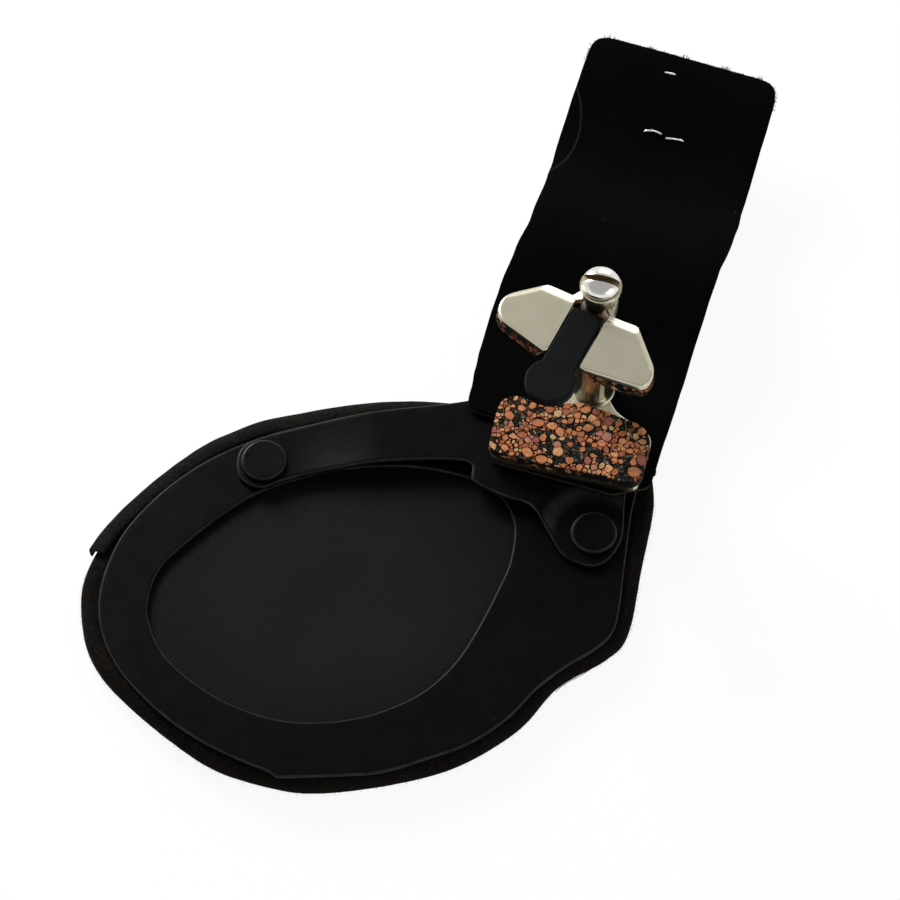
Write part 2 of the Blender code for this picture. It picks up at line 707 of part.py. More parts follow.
def make_jaw_rivets():
    """Countersunk rivets under the cork that hold jaw, flap and arm together."""
    sink = JAW_RIVET_HEAD_RADIUS - JAW_RIVET_RADIUS
    under = SEAT_TOP - ARM_THICKNESS - GAP
    profile = [
        (0, JAW_TOP), (JAW_RIVET_HEAD_RADIUS, JAW_TOP), (JAW_RIVET_RADIUS, JAW_TOP - sink),
        (JAW_RIVET_RADIUS, under), (JAW_RIVET_HEAD_RADIUS, under),
        (JAW_RIVET_HEAD_RADIUS, under - BURR_HEIGHT), (0, under - BURR_HEIGHT),
    ]
    for side, at in jaw_rivet_places():
        turned("jaw_rivet_" + side, profile, nickel, clamp, (*at, 0))


def make_post():
    """The tube that stands on the lower jaw, threaded inside and peened under the arm."""
    base = JAW_TOP + GAP
    under = SEAT_TOP - ARM_THICKNESS - GAP
    floor = base + POST_FLOOR
    profile = [
        (STEM_RADIUS + GAP, POST_TOP), (POST_RADIUS, POST_TOP), (POST_RADIUS, base),
        (POST_SPIGOT_RADIUS, base), (POST_SPIGOT_RADIUS, under), (POST_BURR_RADIUS, under),
        (POST_BURR_RADIUS, under - BURR_HEIGHT), (0, under - BURR_HEIGHT), (0, floor),
        (SCREW_RADIUS + GAP, floor), (SCREW_RADIUS + GAP, BORE_FLOOR), (STEM_RADIUS + GAP, BORE_FLOOR),
    ]
    middle = profile.index((0, floor))
    turned("post_tube", profile[middle:] + profile[:middle], nickel, clamp)


# upper jaw

LUG_SIDE = WING_SLOT / 2
PIN_FORWARD = -(HUB_RADIUS + GAP + LEVER_KNUCKLE)
PIN_LEVEL = WING_TOP - LEVER_KNUCKLE


def wing_loop(side, inset=0.0):
    """One wing of the upper jaw: side is 1 or -1; inset starts it clear of the hub and lugs."""
    tip = WING_SPAN / 2
    inner = LUG_SIDE + inset
    corners = [
        (inner, -WING_REACH), (tip - WING_SWEEP, -WING_REACH + WING_SWEEP),
        (tip, -WING_TIP_BACK), (WING_SHOULDER, -WING_BACK),
    ]
    radii = [WING_CORNER, WING_TIP_ROUND, WING_TIP_ROUND, WING_CORNER]
    if inset:
        corners.append((inner, -WING_BACK))
        radii.append(WING_CORNER)
    else:
        inside = HUB_RADIUS * WING_ROOT
        corners += [
            (HUB_RADIUS + WING_NECK, -WING_BACK), (HUB_RADIUS * WING_HOLD, 0),
            (inside, -inside), (inner, -HUB_RADIUS * WING_HOLD),
        ]
        radii += [WING_CORNER, 0, 0, 0]
    loop = rounded_corners(corners, radii, 3)
    return [Vector((point.x * side, point.y)) for point in loop]


def make_upper_jaw():
    """Hub on the screw's axis with two wings, and lugs that carry the lever's pin."""
    profile = [(0, HUB_TOP), (HUB_RADIUS, HUB_TOP), (HUB_RADIUS, HUB_BOTTOM), (0, HUB_BOTTOM)]
    jaw = turned("upper_jaw", profile, nickel, swivel)
    bore = hole("hub_bore", STEM_RADIUS + GAP, HUB_BOTTOM - GAP, HUB_TOP + GAP, swivel)
    for name, side in (("left", -1), ("right", 1)):
        wing = plate_mesh("wing", [wing_loop(side)], WING_BOTTOM, WING_TOP)
        wing_part = add_object("wing_" + name, wing, None, swivel)
        round_edges(wing_part, WING_ROUND, 2, 50)
        boolean(jaw, wing_part, "UNION")
        boolean(jaw, lug_piece("lug_" + name, side), "UNION")
    boolean(jaw, bore)
    eye = turned(
        "lug_eye",
        [(0, WING_SPAN), (PIN_RADIUS + GAP, WING_SPAN), (PIN_RADIUS + GAP, -WING_SPAN), (0, -WING_SPAN)],
        None, swivel, (0, PIN_FORWARD, PIN_LEVEL), axis="X",
    )
    boolean(jaw, eye)
    weld(jaw)


def lug_piece(name, side):
    """A lug bent down from the wing's inner edge, round about the pin."""
    radius = LEVER_KNUCKLE
    round_end = arc((PIN_FORWARD, PIN_LEVEL), radius, 180, 360, 10)
    loop = round_end + [
        Vector((PIN_FORWARD + radius, WING_TOP - WING_THICKNESS / 3)),
        Vector((PIN_FORWARD - radius, WING_TOP - WING_THICKNESS / 3)),
    ]
    mesh = plate_mesh(name, [loop], LUG_SIDE + LUG_STEP, LUG_SIDE + LUG_STEP + LUG_THICKNESS)
    stand = Matrix(((0, 0, side, 0), (1, 0, 0, 0), (0, 1, 0, 0), (0, 0, 0, 1)))
    mesh.transform(stand)
    if side < 0:
        mesh.flip_normals()
    return add_object(name, mesh, None, swivel)


def make_upper_corks():
    clear = LUG_STEP + LUG_THICKNESS + GAP
    for name, side in (("left", -1), ("right", 1)):
        loop = wing_loop(side, clear)
        mesh = plate_mesh("cork", [loop], UPPER_CORK_BOTTOM, UPPER_CORK_BOTTOM + JAW_CORK)
        add_object("upper_cork_" + name, mesh, cork, swivel)


def make_stem():
    """The tube that slides in the post; the hub turns on it, above its collar."""
    low = POST_TOP - STEM_ENTRY
    bore = SCREW_RADIUS + GAP
    collar = HUB_BOTTOM - GAP
    profile = [
        (bore, HUB_TOP), (STEM_RADIUS, HUB_TOP), (STEM_RADIUS, collar), (COLLAR_RADIUS, collar),
        (COLLAR_RADIUS, collar - COLLAR_HEIGHT), (STEM_RADIUS, collar - COLLAR_HEIGHT),
        (STEM_RADIUS, low), (bore, low),
    ]
    turned("jaw_stem", profile, nickel, clamp, closed=True)


def make_washer():
    top = WASHER_BOTTOM + WASHER_THICKNESS
    bore = SCREW_RADIUS + GAP
    edge = HEAD_RADIUS + GAP
    profile = [(bore, top), (edge, top), (edge, WASHER_BOTTOM), (bore, WASHER_BOTTOM)]
    turned("thrust_washer", profile, nickel, clamp, closed=True)


def make_screw():
    """The slotted screw that draws the upper jaw down."""
    shoulder = HEAD_BOTTOM + HEAD_EDGE
    dome = [
        (HEAD_RADIUS * math.sin(a), shoulder + HEAD_DOME * math.cos(a))
        for a in (math.radians(d) for d in (0, 15, 30, 45, 60, 75, 90))
    ]
    tip = BORE_FLOOR - SCREW_ENTRY
    profile = dome + [(HEAD_RADIUS, HEAD_BOTTOM), (SCREW_RADIUS, HEAD_BOTTOM), (SCREW_RADIUS, tip), (0, tip)]
    screw = turned("clamp_screw", profile, chrome, clamp)
    mesh = bpy.data.meshes.new("slot")
    edit = bmesh.new()
    bmesh.ops.create_cube(edit, size=1)
    size = (4 * HEAD_RADIUS, HEAD_SLOT_WIDTH, 2 * HEAD_SLOT_DEPTH)
    bmesh.ops.scale(edit, verts=edit.verts, vec=size)
    edit.to_mesh(mesh)
    edit.free()
    slot = add_object("screw_slot", mesh, None, clamp, (0, 0, shoulder + HEAD_DOME))
    slot.rotation_euler = (0, 0, HEAD_SLOT_TURN - CLAMP_YAW)
    boolean(screw, slot)


def make_lever():
    """The cam lever: a knuckle on the pin, a flat bar and a round thumb paddle."""
    half = LEVER_WIDTH / 2
    tip = -LEVER_TIP - PIN_FORWARD
    centre = tip + PADDLE_RADIUS
    reach = math.sqrt(PADDLE_RADIUS ** 2 - half ** 2)
    lean = math.degrees(math.atan2(reach, half))
    paddle = arc((0, centre), PADDLE_RADIUS, 180 - lean, 360 + lean, 20)
    loop = paddle + [Vector((half, 0)), Vector((-half, 0))]
    top = LEVER_KNUCKLE - GAP
    lever = add_object("lever", plate_mesh("lever", [loop], top - LEVER_THICKNESS, top), black_lever, pivot)
    round_edges(lever, LEVER_EDGE_ROUND)
    barrel = half - LEVER_EDGE_ROUND
    knuckle = turned(
        "lever_knuckle",
        [(0, barrel), (LEVER_KNUCKLE, barrel), (LEVER_KNUCKLE, -barrel), (0, -barrel)],
        None, pivot, axis="X",
    )
    boolean(lever, knuckle, "UNION")
    eye = turned(
        "lever_eye",
        [(0, half + GAP), (PIN_RADIUS + GAP, half + GAP), (PIN_RADIUS + GAP, -half - GAP), (0, -half - GAP)],
        None, pivot, axis="X",
    )
    boolean(lever, eye)
    weld(lever)
    end = LUG_SIDE + LUG_STEP + LUG_THICKNESS
    pin_profile = [(0, end), (PIN_RADIUS, end), (PIN_RADIUS, -end), (0, -end)]
    turned("lever_pin", pin_profile, nickel, swivel, (0, PIN_FORWARD, PIN_LEVEL), axis="X")


for old in list(bpy.data.objects):
    bpy.data.objects.remove(old)
parts = new_collection("violin_shoulder_rest")
cutters = new_collection("cutters")

velvet = material("velvet", (0.006, 0.006, 0.007), 0.95)
foam = material("foam", (0.12, 0.12, 0.12), 0.95)
leatherette = material("leatherette", (0.016, 0.018, 0.017), 0.6)
binding_cloth = material("binding cloth", (0.012, 0.012, 0.012), 0.7)
leather = material("leather", (0.05, 0.035, 0.025), 0.7)
black_paint = material("black paint", (0.012, 0.012, 0.013), 0.4)
black_lever = material("lever black", (0.018, 0.018, 0.02), 0.5)
nickel = material("nickel plate", (0.62, 0.58, 0.50), 0.25, 1.0)
chrome = material("chrome plate", (0.70, 0.69, 0.66), 0.15, 1.0)
staple_wire = material("staple wire", (0.62, 0.62, 0.62), 0.3, 1.0)
cork = material("cork", (0.45, 0.26, 0.14), 0.9)

post_at = place(POST_PLACE)
clamp = empty("clamp_frame", (*post_at, 0), CLAMP_YAW)
swivel = empty("swivel_frame", (0, 0, 0), JAW_SWIVEL, clamp)
pivot = empty("lever_pivot", (0, PIN_FORWARD, PIN_LEVEL), 0, swivel)
strap = empty("strap_frame", (*post_at, 0), FLAP_YAW)
fold = empty("fold_frame", (0, FOLD_LINE, FOLD_LEVEL), 0, strap)

outline = pad_loop()
make_cover(outline)
make_filling(outline)
make_binding(outline)
make_ring(outline)
make_arm()
make_caps()
make_foot()
make_flap()
make_lower_jaw()
make_jaw_rivets()
make_post()
make_upper_jaw()
make_upper_corks()
make_stem()
make_washer()
make_screw()
make_lever()
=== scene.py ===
"""Looks of a clamp-on violin shoulder rest.

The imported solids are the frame. This script gives them their finishes, and
replaces those that the photo shows in more detail: the cushion, binding,
panel, flap, staples and corks, and the ring, arm, upper jaw, lever and screw.
"""
import math
import random

import bmesh
import bpy
from mathutils import Matrix, Vector, geometry, kdtree, noise


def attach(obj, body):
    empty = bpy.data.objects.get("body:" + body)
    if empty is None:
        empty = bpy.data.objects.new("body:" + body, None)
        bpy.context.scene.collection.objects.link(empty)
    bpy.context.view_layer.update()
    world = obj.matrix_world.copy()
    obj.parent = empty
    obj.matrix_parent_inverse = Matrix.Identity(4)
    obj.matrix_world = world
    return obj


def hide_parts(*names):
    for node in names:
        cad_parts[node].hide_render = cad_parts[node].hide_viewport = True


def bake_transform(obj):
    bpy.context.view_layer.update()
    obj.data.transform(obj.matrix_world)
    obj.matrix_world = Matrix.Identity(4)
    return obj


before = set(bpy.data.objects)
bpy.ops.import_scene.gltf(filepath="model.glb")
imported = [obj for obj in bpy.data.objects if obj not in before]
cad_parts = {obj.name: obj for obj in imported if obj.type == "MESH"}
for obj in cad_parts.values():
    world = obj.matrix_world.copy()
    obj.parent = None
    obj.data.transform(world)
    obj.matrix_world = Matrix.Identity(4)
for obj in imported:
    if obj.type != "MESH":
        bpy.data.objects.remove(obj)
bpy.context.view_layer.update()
# the clock would seed noise_vector otherwise
noise.seed_set(23)

MM = 0.001

# Sizes and places are in the solids' frame, and outlines in millimetres.

# cushion, binding and panel
PAD_TOP = 8.6 * MM
PAD_SHAPE = (
    (-80.1, -4.7), (-77.2, 11.4), (-66.7, 26.5), (-51.2, 41.2), (-40.0, 48.2), (-26.1, 53.3), (7.9, 58.5),
    (45.8, 53.8), (73.5, 43.6), (79.0, 31.0), (74.5, 7.6), (70.8, -11.7), (64.8, -19.3), (51.2, -28.0),
    (39.4, -41.5), (19.0, -53.4), (-11.2, -59.2), (-30.2, -56.7), (-48.4, -48.4), (-73.5, -25.2),
)
# the points of the shape between which the binding runs
BINDING_FROM = 1
BINDING_TO = 9
# profiles: how far out of the shape, and the level
RIM_ROUND = (
    (-3.4, 0.05), (-2.2, 0.12), (-1.2, 0.5), (-0.5, 1.3), (-0.05, 2.7), (0.1, 4.2), (-0.05, 5.7),
    (-0.5, 7.0), (-1.2, 7.9), (-2.2, 8.35), (-3.4, 8.5),
)
BINDING_PROFILE = (
    (-3.05, 8.92), (-2.95, 9.5), (-2.3, 9.95), (-1.2, 10.15), (-0.1, 10.0), (0.8, 9.45), (1.2, 8.5),
    (1.3, 7.0), (1.2, 5.6), (0.95, 4.9), (0.55, 4.85), (0.3, 5.6), (0.35, 7.2), (0.2, 8.3),
    (-0.5, 8.85), (-1.8, 8.95),
)
THREAD = (
    (50.4, -29.6), (51.4, -28.6), (52.4, -27.8), (54.4, -26.3), (56.3, -25.2), (58.0, -24.1), (60.5, -22.4),
    (62.6, -21.0), (64.0, -19.6), (64.2, -17.8),
)
THREAD_LEVEL = 4.0 * MM
THREAD_RADIUS = 0.09 * MM
PANEL_MIDDLE = Vector((-11.5, -2.0)) * MM
PANEL_HALF = Vector((52.0, 41.0)) * MM
PANEL_INSET = 7.6 * MM
PANEL_THICKNESS = 0.9 * MM

# ring and arm
RING_BOTTOM = 8.9 * MM
RING_TOP = 10.5 * MM
RING_OUTLINE = (
    (-72.2, 9.0), (-66.8, 20.0), (-55.4, 32.8), (-41.0, 42.8), (-22.0, 50.2), (2.0, 53.9),
    (30.0, 52.3), (55.0, 46.3), (69.5, 40.0), (74.0, 32.5), (72.2, 22.0), (69.9, 6.0),
    (67.9, -8.5), (65.6, -15.4), (60.6, -20.2), (53.0, -25.0), (45.0, -31.8), (37.5, -40.2),
    (27.0, -47.8), (14.0, -53.0), (3.0, -56.3), (-8.0, -57.3), (-20.0, -57.7), (-24.3, -57.6),
    (-25.5, -57.0), (-27.4, -55.8), (-36.0, -52.1), (-46.0, -46.7), (-57.0, -38.3), (-67.5, -26.8),
    (-73.2, -15.5), (-74.8, -3.5),
)
RING_OPENING = (
    (-61.2, -5.3), (-58.5, 4.6), (-51.3, 13.2), (-38.6, 24.4), (-27.7, 30.9), (-10.0, 36.2),
    (9.9, 37.4), (27.0, 33.6), (35.8, 27.5), (39.4, 18.5), (38.2, 7.5), (35.1, -0.6),
    (29.6, -12.5), (23.1, -23.6), (14.6, -32.3), (4.8, -37.7), (-5.0, -40.7), (-15.1, -41.7),
    (-24.0, -41.0), (-32.2, -38.6), (-41.0, -34.4), (-49.7, -28.1), (-56.4, -21.0), (-60.2, -12.8),
)
CAP_HOLE = 3.3 * MM
LEFT_CAP = Vector((-30.494, 37.6155)) * MM
RIGHT_CAP = Vector((61.383, 14.508)) * MM
ARM_BOTTOM = 10.8 * MM
ARM_THICKNESS = 1.6 * MM
ARM_RISE = 2.5 * MM
ARM_END = 8.0 * MM
# lengths of the joggles by the left and the right cap
ARM_JOGGLES = (26.0 * MM, 10.0 * MM)
SEAT_HALF = 17.3 * MM

# flap and staples
FLAP_LEFT = -32.35 * MM
FLAP_RIGHT = 23.15 * MM
FLAP_LENGTH = 105.0 * MM
FOLD_LINE = 7.05 * MM
FOOT_FRONT = -29.3 * MM
FOOT_CUT = Vector((9.0, 5.0)) * MM
FOOT_NOTCH = Vector((10.6, 14.0)) * MM
STRAP_RADII = (3, 3, 3, 5.5, 5, 3, 3)
# how much longer the flap is at its left and its right corner
END_SKEW = (2.3 * MM, 0.8 * MM)
# how much wider the strip is, at distances behind the post
EDGE_LEFT = (
    (-16, 0), (-9.5, 0.6), (-2.5, 1.4), (4, 2.2), (14, 2.5), (23, 2.3), (34.5, 1.1),
    (45, -0.2), (58, 0), (68, 0.6), (80, 1.4), (90, 1.5), (102, 1.1), (112, 0.5),
)
EDGE_RIGHT = (
    (-30, 0.1), (20, 0.25), (31, 0.6), (44, 0.8), (54, 1.5), (63, 1.4), (74, 0.8),
    (90, 0.6), (104, 0.9), (112, 0.3),
)
EDGE_BAND = 6.0 * MM
FLAP_TUFTS = (-29.5, -27.9, -15.9, -5.5, -4.3, 6.3, 7.7, 17.9)
WAVE_HEIGHT = 9.0 * MM
WAVE_LENGTH = 72.0 * MM
BACKING_BOTTOM = 15.2 * MM
BACKING_THICKNESS = 1.0 * MM
VELVET_BOTTOM = 16.5 * MM
VELVET_THICKNESS = 0.8 * MM
PILE_GROWTH = 0.25 * MM
# places in the noise that tears the edges
LEATHER_TEAR = 1.7
PILE_TEAR = 5.3
POST_HOLE = 2.9 * MM
RIVET_HOLE = 1.8 * MM
# an arc-shaped crease in the pile, shown only as a painted highlight line
CREASE_AT = (-56.01, 81.95)
CREASE_RADIUS = 27.16 * MM
STAPLE_ROWS = (82.5 * MM, 100.5 * MM)
STAPLE_MIDDLE = -4.6 * MM
STAPLE_HALF = 6.0 * MM
STAPLE_WIRE = 0.35 * MM

# post, lower jaw and its cork
POST = Vector((62.015, 57.5055)) * MM
POST_RADIUS = 5.25 * MM
JAW_TOP = 19.2 * MM
NECK_FLARE = (
    (1.5, 2.0), (4.0, 1.4), (4.5, 0.2), (4.95, -1.3), (5.9, -3.0), (7.9, -5.3), (10.6, -6.9),
    (13.6, -7.7), (15.0, -8.6), (15.0, -12.0), (1.5, -12.0),
)
NECK_LEVELS = (17.7 * MM, 19.18 * MM)
JAW_RIVETS = (Vector((-15.0, -19.35)) * MM, Vector((11.0, -19.35)) * MM)
CORK_BOTTOM = 19.5 * MM
CORK_TOP = 22.5 * MM
# radii of the cork's granules, and how often each is tried
GRAIN_SIZES = ((1.6, 22), (1.15, 140), (0.77, 900), (0.48, 3000))
CORK_OUTLINE = (
    (-24.0, -25.5), (-24.4, -14.6), (-23.0, -10.9), (-20.0, -8.9), (-15.8, -9.5), (-9.0, -8.7), (-1.2, -6.9),
    (5.8, -7.8), (11.2, -8.9), (15.8, -9.9), (18.8, -12.4), (20.0, -17.0), (20.0, -24.0), (18.7, -27.9),
    (15.4, -29.0), (7.7, -28.7), (-4.7, -29.1), (-13.8, -29.0), (-20.3, -28.7), (-23.0, -27.6),
)

# upper jaw, lever and screw
WING_BOTTOM = 66.8 * MM
WING_TOP = 68.6 * MM
UPPER_CORK_BOTTOM = 63.5 * MM
UPPER_CORK_TOP = 66.5 * MM
# the left wing is -1 and the right one 1; corners from the front by the slot, round the tip
WING_CORNERS = {
    -1: ((-5.2, -22.95), (-21.4, -18.8), (-24.6, -12.6), (-13.8, -2.95), (-6.6, -3.1)),
    1: ((4.8, -23.5), (23.4, -21.5), (23.5, -15.4), (13.1, -4.35), (6.2, -4.6)),
}
WING_RADII = {-1: (1.0, 6.0, 7.0, 1.8, 1.6), 1: (1.0, 3.2, 7.0, 1.8, 1.6)}
# widths and drops of the sloped edges
WING_BACK_SLOPE = (3.0 * MM, 1.0 * MM)
WING_TIP_SLOPE = (1.3 * MM, 0.55 * MM)
WING_SLOT = 5.2 * MM
WING_HOLD = 4.5 * MM
WING_INSIDE = 3.35 * MM
HUB_RADIUS = 5.0 * MM
HUB_BOTTOM = 61.6 * MM
HUB_TOP = 71.6 * MM
HUB_BORE = 3.8 * MM
HUB_EDGE = 0.5 * MM
PIN_FORWARD = -8.4 * MM
PIN_LEVEL = 65.5 * MM
LUG_RADIUS = 3.1 * MM
KNUCKLE = 3.1 * MM
LEVER_TOP = 2.8 * MM
LEVER_SHIFT = 0.4 * MM
LUG_FROM = 5.3 * MM
LUG_TO = 6.8 * MM
PIN_EYE = 1.2 * MM
HEAD_BOTTOM = 73.0 * MM
HEAD_RADIUS = 5.05 * MM
HEAD_EDGE = 1.2 * MM
HEAD_DOME = 2.25 * MM
HEAD_SLOT = Vector((30.0, 2.0, 3.9)) * MM
HEAD_SLOT_TURN = -13.0
SCREW_RADIUS = 2.0 * MM
SCREW_TIP = 30.5 * MM

# turns of the clamp's parts about the post, in degrees
CLAMP_TURN = -14.5
SWIVEL_TURN = -26.5
STRAP_TURN = -17.5

# camera, fitted to the photo
CAMERA_TARGET = Vector((21.65, 48.75, 0)) * MM
CAMERA_DISTANCE = 0.95
CAMERA_RISE = 60.0
CAMERA_LENS = 133.3


def frame_at(turn):
    """A frame on the post's axis, turned about it."""
    return Matrix.Translation((POST.x, POST.y, 0)) @ Matrix.Rotation(math.radians(turn), 4, "Z")


CLAMP = frame_at(CLAMP_TURN)
SWIVEL = frame_at(SWIVEL_TURN)
STRAP = frame_at(STRAP_TURN)


# outlines

def in_mm(points):
    return [Vector(p) * MM for p in points]


def edges_of(loop):
    return zip(loop, loop[1:] + loop[:1])


def clamped(value):
    return min(max(value, 0.0), 1.0)


def extent(points):
    """The lowest and the highest corner of the box round some points."""
    return [Vector((end(p.x for p in points), end(p.y for p in points))) for end in (min, max)]


def flat_size(loop):
    """How wide and long a flat loop is, and its area."""
    low, high = extent(loop)
    area = abs(sum(a.x * b.y - b.x * a.y for a, b in edges_of(loop))) / 2
    return high.x - low.x, high.y - low.y, area


def curve_points(a, b, c, d, steps):
    """Points on the smooth curve from b to c, with a before and d after them."""
    a, b, c, d = (Vector(p) for p in (a, b, c, d))
    bend = 2 * a - 5 * b + 4 * c - d
    twist = 3 * b - a - 3 * c + d
    shares = (s / steps for s in range(steps))
    return [0.5 * (2 * b + (c - a) * t + bend * t ** 2 + twist * t ** 3) for t in shares]


def smooth_loop(anchors, steps=5):
    """A closed smooth curve through the anchors."""
    count = len(anchors)
    points = []
    for i in range(count):
        points += curve_points(*(anchors[(i + k) % count] for k in (-1, 0, 1, 2)), steps)
    return points


def smooth_path(anchors, steps=6):
    """An open smooth curve through the anchors."""
    last = len(anchors) - 1
    points = []
    for i in range(last):
        points += curve_points(*(anchors[min(max(i + k, 0), last)] for k in (-1, 0, 1, 2)), steps)
    return points + [Vector(anchors[-1])]


def divided(loop, step):
    """A closed loop with points added along its long edges."""
    points = []
    for a, b in edges_of(loop):
        parts = max(1, round((b - a).length / step))
        points += [a.lerp(b, k / parts) for k in range(parts)]
    return points


def offset_loop(loop, distance):
    """A clockwise loop moved outwards by a distance, or inwards by a negative one."""
    moved = []
    for i, point in enumerate(loop):
        along = (loop[(i + 1) % len(loop)] - loop[i - 1]).normalized()
        moved.append(point + Vector((-along.y, along.x)) * distance)
    return moved


def pad_outline(steps=5):
    return smooth_loop(in_mm(PAD_SHAPE), steps)


def rounded_corners(corners, radii, steps=6):
    points = []
    for i, radius in enumerate(radii):
        corner = Vector(corners[i])
        back = (Vector(corners[i - 1]) - corner).normalized()
        ahead = (Vector(corners[(i + 1) % len(corners)]) - corner).normalized()
        reach = radius / math.tan(back.angle(ahead) / 2)
        for s in range(steps + 1):
            t = s / steps
            points.append(
                (corner + back * reach) * (1 - t) ** 2 + corner * 2 * t * (1 - t)
                + (corner + ahead * reach) * t ** 2
            )
    return points


# meshes

def add_piece(name, mesh, look):
    piece = bpy.data.objects.new(name, mesh)
    bpy.context.scene.collection.objects.link(piece)
    mesh.materials.clear()
    mesh.materials.append(look)
    mesh.shade_smooth()
    return piece


def baked(piece):
    """Replace a piece's mesh by what its modifiers make of it."""
    bpy.context.view_layer.update()
    seen = piece.evaluated_get(bpy.context.evaluated_depsgraph_get())
    mesh = bpy.data.meshes.new_from_object(seen)
    mesh.name = piece.name
    piece.modifiers.clear()
    piece.data = mesh
    return piece


def bevel(piece, width, angle):
    """Round a piece's sharp edges."""
    edge = piece.modifiers.new("edge", "BEVEL")
    edge.width = width
    edge.segments = 2
    edge.limit_method = "ANGLE"
    edge.angle_limit = math.radians(angle)


def thicken(piece, thickness):
    solid = piece.modifiers.new("thickness", "SOLIDIFY")
    solid.thickness = thickness
    solid.offset = 0


def smooth_faces(piece, angle=35):
    """Shade a piece smooth apart from its sharp edges."""
    sharp = piece.modifiers.new("sharp", "EDGE_SPLIT")
    sharp.split_angle = math.radians(angle)
    baked(piece)
    piece.data.shade_smooth()


def strip_faces(edit, rows):
    """Quads between closed rows of points."""
    for first, second in zip(rows, rows[1:]):
        for k in range(len(first)):
            edit.faces.new((first[k - 1], first[k], second[k], second[k - 1]))


def mesh_from(name, edit):
    mesh = bpy.data.meshes.new(name)
    bmesh.ops.recalc_face_normals(edit, faces=edit.faces)
    edit.to_mesh(mesh)
    edit.free()
    return mesh


def inside(loop, point):
    """Whether a point lies inside a closed loop."""
    crossings = 0
    for a, b in edges_of(loop):
        if (a.y > point.y) != (b.y > point.y):
            crossings += point.x < a.x + (b.x - a.x) * (point.y - a.y) / (b.y - a.y)
    return crossings % 2 == 1


def edge_finder(loop, closed=True):
    """A function that gives a point's distance from the loop."""
    tree = kdtree.KDTree(len(loop) * 4)
    ends = loop[1:] + (loop[:1] if closed else loop[-1:])
    for i, (point, end) in enumerate(zip(loop, ends)):
        for k in range(4):
            spot = point.lerp(end, k / 4)
            tree.insert((spot.x, spot.y, 0), i * 4 + k)
    tree.balance()
    return lambda x, y: tree.find((x, y, 0))[2]


def grid_in(loop, spacing, clear):
    """Evenly spaced points inside a loop, clear of its edge."""
    near = edge_finder(loop)
    low, high = extent(loop)
    points = []
    for i in range(math.ceil((high.x - low.x) / spacing) + 1):
        for j in range(math.ceil((high.y - low.y) / spacing) + 1):
            spot = low + Vector((i + 0.5 * (j % 2), j)) * spacing
            if near(spot.x, spot.y) > clear and inside(loop, spot):
                points.append(spot)
    return points


def round_hole(centre, radius, steps=16):
    turns = (2 * math.pi * k / steps for k in range(steps))
    return [centre + Vector((math.cos(a), math.sin(a))) * radius for a in turns]


def filled(loop, extra, holes=()):
    """Points and triangles that fill a loop, through extra points and round holes, which are loops too."""
    points = []
    edges = []
    for ring in (loop, *holes):
        first = len(points)
        points += [Vector(p) for p in ring]
        edges += [(first + k, first + (k + 1) % len(ring)) for k in range(len(ring))]
    points += [spot for spot in extra if not any(inside(hole, spot) for hole in holes)]
    verts, _, faces, *_ = geometry.delaunay_2d_cdt(points, edges, [], 1, 1e-8)

    def solid(face):
        middle = sum((verts[i] for i in face), Vector((0, 0))) / len(face)
        return not any(inside(hole, middle) for hole in holes)

    return verts, [face for face in faces if solid(face)]


def sheet_mesh(name, outline, spacing, height, holes=()):
    """A sheet inside an outline, with points at even spacing, lifted to height(x, y)."""
    verts, faces = filled(outline, grid_in(outline, spacing, spacing * 0.6), holes)
    mesh = bpy.data.meshes.new(name)
    mesh.from_pydata([(p.x, p.y, height(p.x, p.y)) for p in verts], [], faces)
    return mesh


def lathe_mesh(name, profile, steps=64):
    """A solid turned about Z from (radius, height) points, which start and end on the axis or meet."""
    edit = bmesh.new()
    rings = []
    for radius, level in profile:
        if radius < 1e-7:
            rings.append([edit.verts.new((0, 0, level))] * steps)
            continue
        turns = (2 * math.pi * k / steps for k in range(steps))
        rings.append([edit.verts.new((radius * math.cos(a), radius * math.sin(a), level)) for a in turns])
    if profile[0][0] > 1e-7:
        rings.append(rings[0])
    for first, second in zip(rings, rings[1:]):
        for k in range(steps):
            corners = (first[k - 1], first[k], second[k], second[k - 1])
            kept = list(dict.fromkeys(corners))
            if len(kept) > 2:
                edit.faces.new(kept)
    return mesh_from(name, edit)


def push_out(edit, faces, way):
    """Extrude faces along a way."""
    grown = bmesh.ops.extrude_face_region(edit, geom=faces)["geom"]
    moved = [item for item in grown if isinstance(item, bmesh.types.BMVert)]
    bmesh.ops.translate(edit, verts=moved, vec=way)


def prism_mesh(name, loop, bottom, top):
    """A straight block with a closed outline."""
    edit = bmesh.new()
    face = edit.faces.new([edit.verts.new((p.x, p.y, bottom)) for p in loop])
    push_out(edit, [face], (0, 0, top - bottom))
    return mesh_from(name, edit)


# materials

def material(name, roughness, specular=0.5, metallic=0.0):
    made = bpy.data.materials.new(name)
    made.use_nodes = True
    shader = made.node_tree.nodes["Principled BSDF"]
    shader.inputs["Roughness"].default_value = roughness
    shader.inputs["Specular IOR Level"].default_value = specular
    shader.inputs["Metallic"].default_value = metallic
    return made, made.node_tree, shader


def node(tree, kind, inputs=None, **settings):
    """A shader node. An input is a value, or a socket to link it to."""
    made = tree.nodes.new(kind)
    for key, value in settings.items():
        setattr(made, key, value)
    for key, value in (inputs or {}).items():
        if isinstance(value, bpy.types.NodeSocket):
            tree.links.new(value, made.inputs[key])
        else:
            made.inputs[key].default_value = value
    return made


def place_of(tree):
    return node(tree, "ShaderNodeTexCoord").outputs["Object"]


def noise_of(tree, place, scale, detail=2.0, roughness=0.5):
    inputs = {"Vector": place, "Scale": scale, "Detail": detail, "Roughness": roughness}
    return node(tree, "ShaderNodeTexNoise", inputs).outputs["Fac"]


